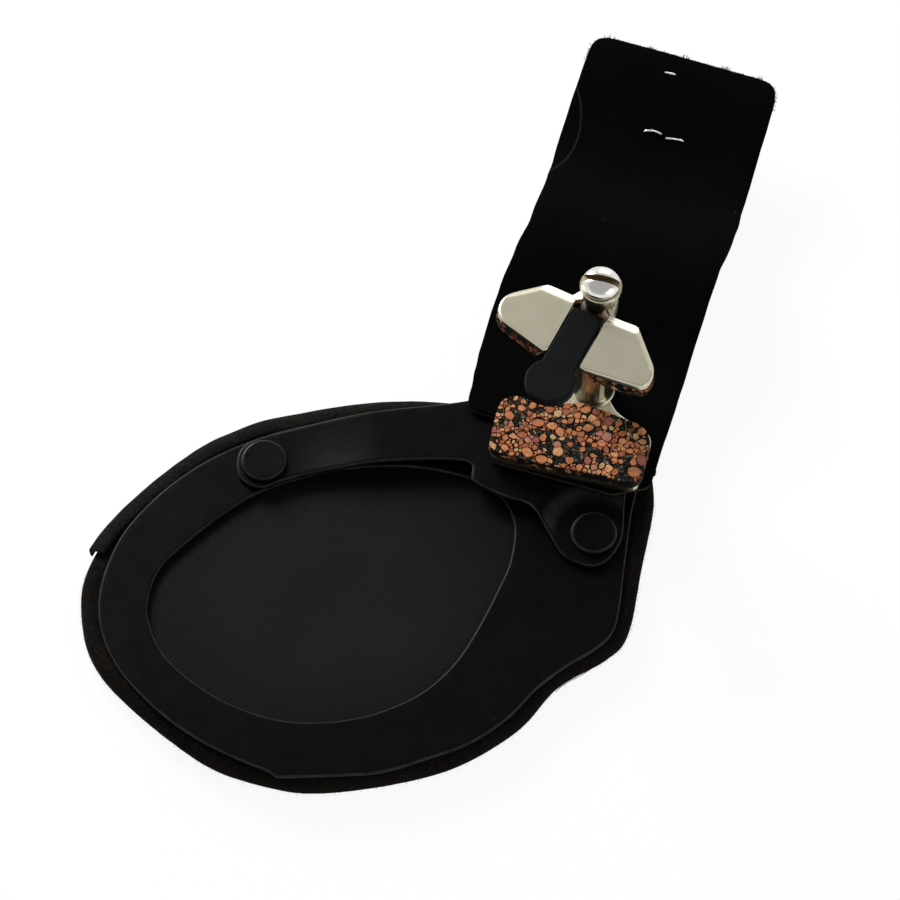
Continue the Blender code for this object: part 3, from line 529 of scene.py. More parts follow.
def ramp(tree, value, stops, interpolation="LINEAR"):
    """A colour ramp of (place, colour) stops."""
    made = node(tree, "ShaderNodeValToRGB", {"Fac": value})
    made.color_ramp.interpolation = interpolation
    elements = made.color_ramp.elements
    while len(elements) < len(stops):
        elements.new(0.5)
    for element, (spot, colour) in zip(elements, stops):
        element.position = spot
        element.color = (*colour, 1.0)
    return made.outputs["Color"]


def grey(value):
    return (value, value, value)


def mix(tree, share, first, second, blend="MIX"):
    """A blend of two colours, each a value or a socket."""
    colours = [c if isinstance(c, bpy.types.NodeSocket) else (*c, 1.0) for c in (first, second)]
    inputs = {0: share, 6: colours[0], 7: colours[1]}
    return node(tree, "ShaderNodeMix", inputs, data_type="RGBA", blend_type=blend).outputs[2]


def maths(tree, operation, first, second=0.0):
    return node(tree, "ShaderNodeMath", {0: first, 1: second}, operation=operation).outputs[0]


def vectors(tree, operation, *values):
    return node(tree, "ShaderNodeVectorMath", dict(enumerate(values)), operation=operation).outputs


def bump(tree, shader, height, distance, strength=1.0):
    inputs = {"Height": height, "Distance": distance, "Strength": strength}
    made = node(tree, "ShaderNodeBump", inputs)
    tree.links.new(made.outputs["Normal"], shader.inputs["Normal"])


def specks(tree, place, scale, size, share):
    """A mask of small specks: one in a share of the cells, of a size against the cell."""
    cells = node(tree, "ShaderNodeTexVoronoi", {"Vector": place, "Scale": scale})
    near = maths(tree, "LESS_THAN", cells.outputs["Distance"], size)
    pick = node(tree, "ShaderNodeSeparateColor", {"Color": cells.outputs["Color"]}).outputs["Red"]
    return maths(tree, "MULTIPLY", near, maths(tree, "LESS_THAN", pick, share))


def make_velvet(name, dark, light, fleck, crease_highlight=None):
    """Black pile with uneven nap, brownish flecks and lint. The crease argument is an arc, its centre and
    radius, along which a painted highlight lightens the pile.
    """
    made, tree, shader = material(name, 0.95, 0.02)
    place = place_of(tree)
    nap = noise_of(tree, place, 70, 4, 0.6)
    pile = noise_of(tree, place, 2600, 2, 0.7)
    cloth = ramp(tree, nap, [(0.3, dark), (0.75, light)])
    fleece = ramp(tree, noise_of(tree, place, 1500, 3, 0.7), [(0.52, grey(0.0)), (0.72, grey(1.0))])
    cloth = mix(tree, fleece, cloth, fleck)
    if crease_highlight:
        centre, radius = crease_highlight
        plan = vectors(tree, "MULTIPLY", place, (1.0, 1.0, 0.0))[0]
        away = vectors(tree, "DISTANCE", plan, centre)["Value"]
        off = maths(tree, "ABSOLUTE", maths(tree, "SUBTRACT", away, radius))
        # painted highlight: a paler line in the pile along the crease's arc
        line = ramp(tree, maths(tree, "MULTIPLY", off, 1000.0), [(0.1, grey(1.0)), (0.45, grey(0.0))])
        cloth = mix(tree, line, cloth, (0.011, 0.011, 0.012))
    lint = specks(tree, place, 230, 0.04, 0.14)
    tree.links.new(mix(tree, lint, cloth, (0.05, 0.05, 0.052)), shader.inputs["Base Color"])
    shader.inputs["Sheen Weight"].default_value = 0.006
    shader.inputs["Sheen Roughness"].default_value = 0.4
    bump(tree, shader, pile, 0.4 * MM, 0.7)
    return made


def make_paint(name, dark, light, rough, smooth, specular, overlay_tone=None):
    """Black stoved paint: faint mottling, orange peel, a little dust, and a painted highlight on rounded
    edges.
    """
    made, tree, shader = material(name, rough, specular)
    place = place_of(tree)
    mottle = noise_of(tree, place, 45, 5, 0.6)
    paint = ramp(tree, mottle, [(0.3, dark), (0.7, light)])
    dust = specks(tree, place, 300, 0.045, 0.12)
    paint = mix(tree, dust, paint, grey(0.03))
    # painted highlight: rounded edges and sides, picked by their tilted normals, take a paler colour of
    # uneven strength in place of the light they catch
    if overlay_tone:
        facing = node(tree, "ShaderNodeSeparateXYZ", {0: node(tree, "ShaderNodeTexCoord").outputs["Normal"]})
        stops = [(0.05, grey(0.25)), (0.3, grey(1.0)), (0.92, grey(1.0)), (0.97, grey(0.0))]
        edge_highlight_mask = ramp(tree, facing.outputs["Z"], stops)
        uneven = ramp(tree, noise_of(tree, place, 220, 3, 0.6), [(0.3, grey(0.35)), (0.6, grey(1.0))])
        paint = mix(tree, maths(tree, "MULTIPLY", edge_highlight_mask, uneven), paint, overlay_tone)
    tree.links.new(paint, shader.inputs["Base Color"])
    sheen = ramp(tree, noise_of(tree, place, 160, 3, 0.6), [(0.35, grey(smooth)), (0.7, grey(rough))])
    tree.links.new(sheen, shader.inputs["Roughness"])
    bump(tree, shader, noise_of(tree, place, 1100, 2, 0.5), 0.05 * MM, 0.4)
    return made


def make_leatherette(name, dark, light, specular):
    """Smooth coated cloth with a fine pebbled grain, and painted shade that darkens it towards the ring."""
    made, tree, shader = material(name, 0.55, specular)
    place = place_of(tree)
    cloth = ramp(tree, noise_of(tree, place, 28, 4, 0.55), [(0.3, dark), (0.72, light)])
    # painted shade: the cloth darkens with distance from the panel's middle, out to the ring's inner edge
    away = vectors(tree, "SUBTRACT", place, PANEL_MIDDLE.to_3d())[0]
    scaled = vectors(tree, "MULTIPLY", away, (1 / PANEL_HALF.x, 1 / PANEL_HALF.y, 0.0))[0]
    reach = vectors(tree, "LENGTH", scaled)["Value"]
    painted_ring_shade = ramp(tree, reach, [(0.45, grey(0.0)), (1.0, grey(0.75))], "EASE")
    tree.links.new(mix(tree, painted_ring_shade, cloth, grey(0.0016)), shader.inputs["Base Color"])
    grain = node(tree, "ShaderNodeTexVoronoi", {"Vector": place, "Scale": 1300.0}, feature="SMOOTH_F1")
    rough = ramp(tree, grain.outputs["Distance"], [(0.1, grey(0.48)), (0.7, grey(0.66))])
    tree.links.new(rough, shader.inputs["Roughness"])
    bump(tree, shader, grain.outputs["Distance"], 0.12 * MM, 0.35)
    return made


def make_webbing(name, dark, light):
    """Coarse matt cloth tape with pale threads in it."""
    made, tree, shader = material(name, 0.85, 0.06)
    place = place_of(tree)
    weave = noise_of(tree, place, 1250, 3, 0.75)
    nap = ramp(tree, weave, [(0.38, dark), (0.66, light)])
    overlay_tone = ramp(tree, noise_of(tree, place, 90, 3, 0.6), [(0.35, grey(0.0)), (0.7, grey(0.55))])
    tree.links.new(mix(tree, overlay_tone, nap, dark), shader.inputs["Base Color"])
    bump(tree, shader, weave, 0.3 * MM, 0.8)
    return made


def make_leather():
    """Raw brown split leather with loose fibres."""
    made, tree, shader = material("split leather", 0.9, 0.1)
    place = place_of(tree)
    fibre = noise_of(tree, place, 900, 4, 0.7)
    shades = [(0.3, (0.012, 0.008, 0.006)), (0.55, (0.035, 0.022, 0.014)), (0.8, (0.09, 0.055, 0.032))]
    tree.links.new(ramp(tree, fibre, shades), shader.inputs["Base Color"])
    bump(tree, shader, fibre, 0.3 * MM, 0.8)
    return made


def make_fibres():
    """Loose brown and grey fibres."""
    made, tree, shader = material("loose fibres", 0.9, 0.05)
    hair = noise_of(tree, place_of(tree), 700, 2, 0.6)
    shades = [(0.3, (0.004, 0.003, 0.0025)), (0.5, (0.014, 0.009, 0.005)), (0.7, (0.06, 0.034, 0.014))]
    tree.links.new(ramp(tree, hair, shades), shader.inputs["Base Color"])
    return made


def make_metal(name, dull, bright, rough, smooth, scratch):
    """Plated steel with cloudy dull patches and fine scratches."""
    made, tree, shader = material(name, rough, 0.5, 1.0)
    place = place_of(tree)
    cloud = noise_of(tree, place, 110, 4, 0.6)
    tree.links.new(ramp(tree, cloud, [(0.3, dull), (0.7, bright)]), shader.inputs["Base Color"])
    inputs = {"Vector": place, "Scale": (260.0, 3400.0, 900.0), "Rotation": (0, 0, 0.45)}
    drawn = node(tree, "ShaderNodeMapping", inputs)
    lines = noise_of(tree, drawn.outputs["Vector"], 1.0, 3, 0.6)
    finish = ramp(tree, lines, [(0.3, grey(smooth)), (0.75, grey(rough))])
    tree.links.new(finish, shader.inputs["Roughness"])
    bump(tree, shader, lines, 0.02 * MM, scratch)
    return made


def make_cork(name, bare):
    """Composition cork as its cut sides show it: brown granules in a black binder, a share of it bare."""
    made, tree, shader = material(name, 0.85, 0.1)
    place = place_of(tree)
    warp = node(tree, "ShaderNodeTexNoise", {"Vector": place, "Scale": 520.0, "Detail": 2.0})
    bent = vectors(tree, "MULTIPLY_ADD", warp.outputs["Color"], grey(0.0013), place)["Vector"]
    inputs = {"Vector": bent, "Scale": 560.0, "Randomness": 1.0}
    cells = node(tree, "ShaderNodeTexVoronoi", inputs)
    seams = node(tree, "ShaderNodeTexVoronoi", inputs, feature="DISTANCE_TO_EDGE").outputs["Distance"]
    tint = node(tree, "ShaderNodeSeparateColor", {"Color": cells.outputs["Color"]})
    browns = ramp(tree, tint.outputs["Red"], CUT_BROWNS)
    skin = ramp(tree, seams, [(0.06, grey(0.0)), (0.14, grey(1.0))])
    kept = maths(tree, "MULTIPLY", skin, maths(tree, "GREATER_THAN", tint.outputs["Green"], bare))
    tree.links.new(mix(tree, kept, BINDER, browns), shader.inputs["Base Color"])
    bump(tree, shader, kept, 0.25 * MM, 0.7)
    return made


def make_granules(name, colours):
    """Loose grains, each of one colour out of a row, with darker pores."""
    made, tree, shader = material(name, 0.8, 0.12)
    place = place_of(tree)
    pick = node(tree, "ShaderNodeNewGeometry").outputs["Random Per Island"]
    stops = [(i / len(colours), colour) for i, colour in enumerate(colours)]
    tint = ramp(tree, pick, stops, "CONSTANT")
    cloud = ramp(tree, noise_of(tree, place, 900, 3, 0.6), [(0.35, grey(0.62)), (0.65, grey(1.0))])
    shaded = mix(tree, 1.0, tint, cloud, "MULTIPLY")
    pores = ramp(tree, noise_of(tree, place, 2600, 3, 0.7), [(0.3, grey(1.0)), (0.42, grey(0.0))])
    tree.links.new(mix(tree, pores, shaded, (0.09, 0.03, 0.016)), shader.inputs["Base Color"])
    bump(tree, shader, noise_of(tree, place, 1900, 3, 0.7), 0.12 * MM, 0.6)
    return made


BINDER = (0.0035, 0.003, 0.0026)
CUT_BROWNS = (
    (0.0, (0.05, 0.02, 0.012)), (0.4, (0.16, 0.055, 0.028)), (0.8, (0.34, 0.14, 0.065)),
    (1.0, (0.5, 0.26, 0.13)),
)
CORK_BROWNS = (
    (0.56, 0.22, 0.09), (0.47, 0.17, 0.07), (0.34, 0.11, 0.055), (0.60, 0.29, 0.13), (0.52, 0.33, 0.16),
    (0.43, 0.16, 0.065), (0.30, 0.10, 0.07), (0.54, 0.20, 0.085), (0.42, 0.18, 0.12), (0.50, 0.185, 0.075),
    (0.38, 0.12, 0.05), (0.58, 0.26, 0.12),
)
CORK_CRUMBS = (
    (0.004, 0.004, 0.004), (0.009, 0.014, 0.011), (0.006, 0.007, 0.006), (0.02, 0.028, 0.022),
    (0.005, 0.006, 0.006), (0.045, 0.05, 0.038), (0.012, 0.017, 0.013), (0.10, 0.09, 0.06),
)
# the crease's painted highlight: its arc's centre and radius in the solids' frame
CREASE_HIGHLIGHT = (tuple(STRAP @ (Vector(CREASE_AT).to_3d() * MM)), CREASE_RADIUS)

velvet = make_velvet("rim velvet", (0.0034, 0.0031, 0.0028), (0.0078, 0.007, 0.0063), (0.021, 0.0145, 0.0092))
flap_velvet = make_velvet("flap velvet", grey(0.0006), grey(0.0014), grey(0.0025), CREASE_HIGHLIGHT)
fibres = make_fibres()
leather = make_leather()
cork = make_cork("composition cork", bare=0.6)
wing_cork = make_cork("wing cork", bare=0.15)
granules = make_granules("cork granules", CORK_BROWNS)
crumbs = make_granules("cork crumbs", CORK_CRUMBS)
panel_cloth = make_leatherette("panel cloth", (0.0039, 0.0045, 0.0043), (0.0056, 0.0062, 0.006), 0.052)
binding_cloth = make_webbing("binding cloth", (0.0022, 0.0022, 0.0019), (0.015, 0.0146, 0.0118))
# the last colour of each paint is its painted highlight for rounded edges
black_paint = make_paint("black paint", grey(0.0013), grey(0.0019), 0.35, 0.29, 0.05, (0.027, 0.0265, 0.025))
cap_paint = make_paint("cap paint", grey(0.0013), grey(0.0018), 0.3, 0.24, 0.08, (0.02, 0.0195, 0.019))
lever_paint = make_paint("lever paint", (0.0032, 0.0035, 0.0039), (0.005, 0.0053, 0.006), 0.62, 0.5, 0.04)
nickel = make_metal("nickel plate", (0.51, 0.48, 0.36), (0.565, 0.533, 0.41), 0.295, 0.285, 0.006)
chrome = make_metal("polished plate", (0.70, 0.68, 0.63), (0.80, 0.79, 0.75), 0.2, 0.1, 0.1)
# a darker, browner plate for the faces of the screw's slot
dark_slot_plate = make_metal("dark slot plate", (0.13, 0.10, 0.05), (0.30, 0.24, 0.13), 0.55, 0.4, 0.3)
# painted shade: a darker, browner nickel for the hub, in place of the shade and the brown reflections under
# the screw's head
hub_shade_nickel = make_metal("nickel with painted shade", (0.16, 0.13, 0.085), (0.34, 0.30, 0.21), 0.35, 0.25, 0.05)
wire = make_metal("staple wire", (0.72, 0.72, 0.71), (0.85, 0.85, 0.84), 0.25, 0.14, 0.2)

FINISHES = (
    (black_paint, "ring_frame arm_plate"),
    (cap_paint, "cap_rivet_left cap_rivet_right"),
    (nickel, "lower_jaw jaw_rivet_left jaw_rivet_right post_tube jaw_stem thrust_washer upper_jaw lever_pin"),
    (chrome, "clamp_screw"),
    (lever_paint, "lever"),
    (cork, "lower_cork"),
    (wing_cork, "upper_cork_left upper_cork_right"),
    (velvet, "cushion_cover cushion_foam"),
    (panel_cloth, "centre_panel"),
    (binding_cloth, "edge_binding"),
    (leather, "foot_backing flap_backing"),
    (flap_velvet, "foot_velvet flap_velvet"),
    (wire, "staple_near staple_far"),
)

for look, names in FINISHES:
    for name in names.split():
        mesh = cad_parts[name].data
        mesh.materials.clear()
        mesh.materials.append(look)


# soft pieces

def swell(piece, held, cap):
    """Fill a closed piece out with a cloth simulation under pressure.

    Points that held(place) names stay where they are, and no other moves more than the cap.
    """
    start = [vert.co.copy() for vert in piece.data.vertices]
    fixed = piece.vertex_groups.new(name="held")
    fixed.add([i for i, place in enumerate(start) if held(place)], 1.0, "REPLACE")
    cloth = piece.modifiers.new("cloth", "CLOTH")
    cloth.settings.vertex_group_mass = fixed.name
    cloth.settings.mass = 0.1
    cloth.settings.tension_stiffness = 5
    cloth.settings.compression_stiffness = 5
    cloth.settings.shear_stiffness = 2
    cloth.settings.bending_stiffness = 0.05
    cloth.settings.use_pressure = True
    cloth.settings.uniform_pressure_force = 20
    cloth.settings.effector_weights.gravity = 0
    cloth.point_cache.frame_start = 1
    cloth.point_cache.frame_end = 20
    for step in range(1, 21):
        bpy.context.scene.frame_set(step)
    baked(piece)
    bpy.context.scene.frame_set(1)
    piece.vertex_groups.clear()
    for vert, rest in zip(piece.data.vertices, start):
        move = vert.co - rest
        if move.length > cap:
            vert.co = rest + move * (cap / move.length)


def cushion_mesh():
    """The cushion before it swells: a rounded rim between two flat faces."""
    loop = pad_outline(8)
    edit = bmesh.new()
    rings = [offset_loop(loop, away * MM) for away, _ in RIM_ROUND]
    rows = [
        [edit.verts.new((p.x, p.y, level * MM)) for p in ring] for ring, (_, level) in zip(rings, RIM_ROUND)
    ]
    strip_faces(edit, rows)
    for k in (0, -1):
        verts, faces = filled(rings[k], grid_in(rings[k], 4 * MM, 2.4 * MM))
        level = RIM_ROUND[k][1] * MM
        spots = rows[k] + [edit.verts.new((p.x, p.y, level)) for p in verts[len(loop):]]
        for face in faces:
            edit.faces.new([spots[i] for i in face])
    return mesh_from("cushion", edit)


def make_cushion():
    """The velvet-covered foam: full at its rim, flat on the floor, under the ring and under the panel."""
    loop = pad_outline()
    near = edge_finder(loop)
    piece = add_piece("cushion", cushion_mesh(), velvet)
    swell(piece, lambda place: near(place.x, place.y) > 4 * MM, cap=0.8 * MM)
    panel = offset_loop(loop, -7.0 * MM)
    for vert in piece.data.vertices:
        top = PAD_TOP - 0.1 * MM
        if inside(panel, vert.co.xy):
            top = PAD_TOP - 1.4 * MM
        vert.co.z = min(max(vert.co.z, 0.05 * MM), top)
    piece.modifiers.new("smooth", "SUBSURF").levels = 1
    baked(piece)
    for vert in piece.data.vertices:
        if vert.co.z > 0.3 * MM and abs(vert.normal.z) < 0.85:
            pucker = noise.noise(Vector((vert.co.x, vert.co.y, vert.co.z * 0.4)) * 260)
            vert.co += vert.normal * pucker * 0.07 * MM
    piece.data.shade_smooth()
    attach(piece, "base")
    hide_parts("cushion_cover", "cushion_foam")
    return piece


def make_panel():
    """The smooth sheet in the ring's opening, sagging a little over the foam."""
    outline = offset_loop(pad_outline(), -PANEL_INSET)

    def height(x, y):
        reach = min(1.0, (Vector((x, y)) - PANEL_MIDDLE).length / (46 * MM))
        dip = 0.35 * MM * (1 - reach * reach) ** 2
        return PAD_TOP - 0.65 * MM - dip + noise.noise(Vector((x, y, 0)) * 60) * 0.08 * MM

    mesh = sheet_mesh("panel", outline, 3.0 * MM, height)
    piece = add_piece("panel", mesh, panel_cloth)
    thicken(piece, PANEL_THICKNESS)
    baked(piece)
    piece.data.shade_smooth()
    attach(piece, "base")
    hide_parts("centre_panel")
    width, length, area = flat_size(outline)


def make_binding():
    """The strip folded over the rim along the back, with a square-cut end that stands off a little."""
    steps = 12
    outline = pad_outline(steps)
    path = range(BINDING_FROM * steps, (BINDING_TO - 1) * steps + 8)
    edit = bmesh.new()
    rows = []
    for index in path:
        here = outline[index]
        along = (outline[index + 1] - outline[index - 1]).normalized()
        out = Vector((-along.y, along.x))
        from_end = (index - path[0]) / steps
        loose = 0.15 * MM * math.exp(-3 * from_end)
        row = []
        for away, level in BINDING_PROFILE:
            stretch = 1 + 0.36 * max(0.0, out.y) if away < 0 else 1
            ripple = noise.noise(Vector((here.x, here.y, level * MM)) * 190) * 0.12 * MM
            push = away * stretch * MM + loose + ripple
            lift = noise.noise(Vector((here.x, here.y, 0.05)) * 120) * 0.1 * MM
            spot = here + out * push
            row.append(edit.verts.new((spot.x, spot.y, level * MM + lift + loose * 0.3)))
        rows.append(row)
    strip_faces(edit, rows)
    edit.faces.new(rows[0])
    edit.faces.new(rows[-1])
    piece = add_piece("binding", mesh_from("binding", edit), binding_cloth)
    bevel(piece, 0.12 * MM, 70)
    baked(piece)
    piece.data.shade_smooth()
    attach(piece, "base")
    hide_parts("edge_binding")


def flap_wave(y):
    """How far the flap stands above its foot's level, at a distance behind the post."""
    behind = y - FOLD_LINE
    if behind < 0:
        return 0.0
    return WAVE_HEIGHT * math.sin(math.pi * behind / WAVE_LENGTH) ** 2


def flap_lift(x, y):
    """The flap's wave with a little unevenness that fades towards the fold."""
    free = clamped((y - FOLD_LINE) / (20 * MM))
    return flap_wave(y) + noise.noise(Vector((x, y, 0.2)) * 45) * 0.35 * MM * free


def level_at(table, place):
    """A table's value at a place, with smooth steps between its rows; both in millimetres."""
    if place <= table[0][0]:
        return table[0][1]
    for (start, first), (stop, second) in zip(table, table[1:]):
        if place < stop:
            share = (place - start) / (stop - start)
            return first + (second - first) * share * share * (3 - 2 * share)
    return table[-1][1]


def strap_outline(grow, ragged):
    """The whole strip's cut, from the foot's front edge to the flap's end."""
    inner = FLAP_LEFT + FOOT_NOTCH.x
    step = FOOT_FRONT + FOOT_NOTCH.y
    end = FOLD_LINE + FLAP_LENGTH + END_SKEW[0]
    far_end = FOLD_LINE + FLAP_LENGTH + END_SKEW[1]
    corners = [
        (inner, FOOT_FRONT), (FLAP_RIGHT - FOOT_CUT.x, FOOT_FRONT), (FLAP_RIGHT, FOOT_FRONT + FOOT_CUT.y),
        (FLAP_RIGHT, far_end), (FLAP_LEFT, end), (FLAP_LEFT, step), (inner, step),
    ]
    rough = rounded_corners(corners, [radius * MM for radius in STRAP_RADII])
    loop = offset_loop(divided(rough, 1.1 * MM), -grow)
    for point in loop:
        by_left = clamped(1 - (point.x - FLAP_LEFT) / EDGE_BAND)
        by_right = clamped(1 - (FLAP_RIGHT - point.x) / EDGE_BAND)
        point.x += by_right * level_at(EDGE_RIGHT, point.y / MM) * MM
        point.x -= by_left * level_at(EDGE_LEFT, point.y / MM) * MM
        spot = Vector((point.x, point.y, ragged))
        tear = noise.noise(spot * 420) + noise.noise(spot * 1100)
        near_end = max(0.0, 1 - (end - point.y) / (4 * MM))
        point.y += tear * 0.13 * MM * near_end
        point.x += noise.noise(Vector((point.x, point.y, 3 + ragged)) * 150) * 0.18 * MM
    return loop


def make_strap(name, bottom, thickness, grow, ragged, look, nodes):
    """One layer of the strip: clamped at its foot, folded at the fold line and waved behind it."""
    holes = [round_hole(Vector((0, 0)), POST_HOLE)]
    holes += [round_hole((STRAP.inverted() @ CLAMP @ at.to_3d()).xy, RIVET_HOLE) for at in JAW_RIVETS]

    def height(x, y):
        return bottom + thickness / 2 + flap_lift(x, y)

    outline = strap_outline(grow, ragged)
    mesh = sheet_mesh(name, outline, 2.2 * MM, height, holes)
    mesh.transform(STRAP)
    piece = add_piece(name, mesh, look)
    thicken(piece, thickness)
    bevel(piece, thickness * 0.35, 60)
    baked(piece)
    piece.data.shade_smooth()
    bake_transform(piece)
    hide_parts(*nodes)
    step = 0.5 * MM
    places = [FOLD_LINE + k * step for k in range(int(FLAP_LENGTH / step))]
    stretch = sum(math.hypot(step, flap_wave(y + step) - flap_wave(y)) for y in places) - FLAP_LENGTH
    width, length, area = flat_size(outline)
    length += stretch
    area += stretch * width


def wire_mesh(name, points, radius):
    """A round wire through points, with its bends smoothed."""
    curve = bpy.data.curves.new(name, "CURVE")
    curve.dimensions = "3D"
    curve.bevel_depth = radius
    curve.bevel_resolution = 3
    curve.use_fill_caps = True
    spline = curve.splines.new("POLY")
    spline.points.add(len(points) - 1)
    for point, place in zip(spline.points, points):
        point.co = (*place, 1)
    guide = bpy.data.objects.new(name, curve)
    bpy.context.scene.collection.objects.link(guide)
    bpy.context.view_layer.update()
    mesh = bpy.data.meshes.new_from_object(guide.evaluated_get(bpy.context.evaluated_depsgraph_get()))
    bpy.data.objects.remove(guide)
    bpy.data.curves.remove(curve)
    return mesh


def make_staple(name, node_name, row, bow, gap, sunk=0.0):
    """A wire staple with its crown below and its legs folded in on the velvet, or sunk into the pile."""
    y = FOLD_LINE + row
    high = VELVET_BOTTOM + VELVET_THICKNESS + STAPLE_WIRE - sunk
    low = BACKING_BOTTOM - STAPLE_WIRE * 1.3
    half = STAPLE_HALF
    bend = 0.7 * MM
    end = gap / 2
    route = [
        (-end, bow * 0.7, high - 0.05 * MM), (-half / 2, bow, high + 0.25 * MM),
        (-half + bend, bow * 0.3, high + 0.1 * MM),
        (-half + bend * 0.3, 0, high - bend * 0.3), (-half, 0, high - bend), (-half, 0, low + bend),
        (-half + bend * 0.3, 0, low + bend * 0.3), (-half + bend, 0, low), (half - bend, 0, low),
        (half - bend * 0.3, 0, low + bend * 0.3), (half, 0, low + bend), (half, 0, high - bend),
        (half - bend * 0.3, 0, high - bend * 0.3), (half - bend, -bow * 0.2, high + 0.1 * MM),
        (half / 2, -bow * 0.6, high + 0.2 * MM - sunk), (end, -bow, high - 0.05 * MM - sunk),
    ]
    spots = ((STAPLE_MIDDLE + x, y + dy, z) for x, dy, z in route)
    points = smooth_path([(x, there, z + flap_lift(x, there)) for x, there, z in spots])
    mesh = wire_mesh(name, points, STAPLE_WIRE)
    mesh.transform(STRAP)
    piece = add_piece(name, mesh, wire)
    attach(piece, "flap")
    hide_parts(node_name)


def cork_outline(inset):
    return offset_loop(smooth_loop(in_mm(CORK_OUTLINE), 4), -inset)


def make_cork_pad(name, node_name, body, mesh, look):
    """A cork pad with crumbled edges."""
    piece = add_piece(name, mesh, look)
    remesh = piece.modifiers.new("remesh", "REMESH")
    remesh.mode = "VOXEL"
    remesh.voxel_size = 0.5 * MM
    soften = piece.modifiers.new("soften", "SMOOTH")
    soften.iterations = 3
    baked(piece)
    for vert in piece.data.vertices:
        side = 1 - abs(vert.normal.z)
        pit = noise.cell(vert.co * 900) * 0.5 + noise.noise(vert.co * 700)
        vert.co += vert.normal * (pit - 0.4) * (0.06 + 0.3 * side) * MM
    piece.data.shade_smooth()
    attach(piece, body)
    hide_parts(node_name)


def make_lower_cork():
    """The lower pad's body, a little below its granules."""
    mesh = prism_mesh("cork_pad", cork_outline(0.1 * MM), CORK_BOTTOM, CORK_TOP - 0.4 * MM)
    mesh.transform(CLAMP)
    make_cork_pad("cork_pad", "lower_cork", "base", mesh, cork)


def make_wing_cork(name, node_name, side):
    """The cork under one wing, clear of the lever's lug."""
    front, tip_front, tip, shoulder, neck = in_mm(WING_CORNERS[side])
    inner = side * (LUG_TO + 0.9 * MM)
    corners = [Vector((inner, front.y + 0.4 * MM)), tip_front, tip, shoulder, Vector((inner, neck.y))]
    radii = (1.0, *WING_RADII[side][1:4], 1.0)
    loop = rounded_corners(corners, [radius * MM for radius in radii])[::-side]
    mesh = prism_mesh(name, offset_loop(loop, 0.45 * MM), UPPER_CORK_BOTTOM, UPPER_CORK_TOP)
    mesh.transform(SWIVEL)
    make_cork_pad(name, node_name, "swivel_jaw", mesh, wing_cork)


def any_way(chance):
    return Vector([chance.uniform(-1, 1) for _ in range(3)])


def fibre_mesh(name, roots, stout=1.0):
    """Loose fibres: thin bent spikes, each from a root point in a direction, with a length."""
    edit = bmesh.new()
    chance = random.Random(len(roots))
    for root, way, length in roots:
        loose = any_way(chance)
        side = way.cross(loose).normalized() * chance.uniform(0.02, 0.035) * stout * MM
        across = way.cross(side).normalized() * side.length
        middle = root + way * length * 0.55
        tip = edit.verts.new(root + way * length + loose * length * 0.35)
        rings = []
        for centre, size in ((root, 1.0), (middle, 0.75)):
            corners = (side, across * 0.87 - side * 0.5, -across * 0.87 - side * 0.5)
            rings.append([edit.verts.new(centre + corner * size) for corner in corners])
        edit.faces.new(rings[0])
        strip_faces(edit, rings)
        for k in range(3):
            edit.faces.new((rings[1][k - 1], rings[1][k], tip))
    return mesh_from(name, edit)


def make_rim_fuzz(cushion):
    """Short fibres that stand out of the velvet round the rim, apart from where the binding covers it."""
    chance = random.Random(5)
    outline = pad_outline(12)
    bound = edge_finder(outline[BINDING_FROM * 12 - 2:(BINDING_TO - 1) * 12 + 12], False)
    roots = []
    for vert in cushion.data.vertices:
        wall = vert.co.z > 0.5 * MM and abs(vert.normal.z) < 0.9
        if not wall or bound(vert.co.x, vert.co.y) < 3 * MM:
            continue
        for _ in range(2):
            slide = any_way(chance) * 0.5 * MM
            way = (vert.normal + slide * 900).normalized()
            length = chance.uniform(0.2, 0.5) if chance.random() < 0.97 else chance.uniform(0.7, 1.3)
            roots.append((vert.co + slide - vert.normal * 0.12 * MM, way, length * MM))
    piece = add_piece("rim_fuzz", fibre_mesh("rim_fuzz", roots), fibres)
    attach(piece, "base")


def make_flap_fuzz():
    """Fibres along the flap's cut end, with a few tufts."""
    chance = random.Random(9)
    roots = []
    edge = [p for p in strap_outline(PILE_GROWTH, PILE_TEAR) if p.y > FOLD_LINE + FLAP_LENGTH - 7 * MM]
    for point in edge:
        for _ in range(16):
            x = point.x + chance.uniform(-0.6, 0.6) * MM
            tuft = min(abs(x - place * MM) for place in FLAP_TUFTS) < 0.8 * MM
            length = chance.uniform(1.0, 1.9) if tuft else chance.uniform(0.3, 0.75)
            level = chance.uniform(BACKING_BOTTOM + 0.2 * MM, VELVET_BOTTOM + VELVET_THICKNESS - 0.1 * MM)
            root = STRAP @ Vector((x, point.y - 0.15 * MM, level + flap_lift(x, point.y)))
            corner = (point.x > FLAP_RIGHT - 3 * MM) - (point.x < FLAP_LEFT + 3 * MM)
            out = Vector((0.15 * corner, 1, 0.2))
            way = STRAP.to_3x3() @ (out + Vector((chance.uniform(-0.6, 0.6), 0, chance.uniform(-0.4, 0.5))))
            roots.append((root, way.normalized(), length * MM))
    piece = add_piece("flap_fuzz", fibre_mesh("flap_fuzz", roots, 2.6), fibres)
    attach(piece, "flap")


def make_thread():
    """A thread that has come loose from the velvet, with a knot in it."""
    levels = [THREAD_LEVEL + 0.2 * MM * math.sin(i) for i in range(len(THREAD))]
    points = smooth_path([(x * MM, y * MM, level) for (x, y), level in zip(THREAD, levels)])
    mesh = wire_mesh("loose_thread", points, THREAD_RADIUS)
    knot = Vector((*THREAD[5], 0)) * MM
    for vert in mesh.vertices:
        near = max(0.0, 1 - (vert.co.xy - knot.xy).length / (0.5 * MM))
        vert.co.z = THREAD_LEVEL + (vert.co.z - THREAD_LEVEL) * (1 + 1.2 * near)
    piece = add_piece("loose_thread", mesh, velvet)
    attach(piece, "base")


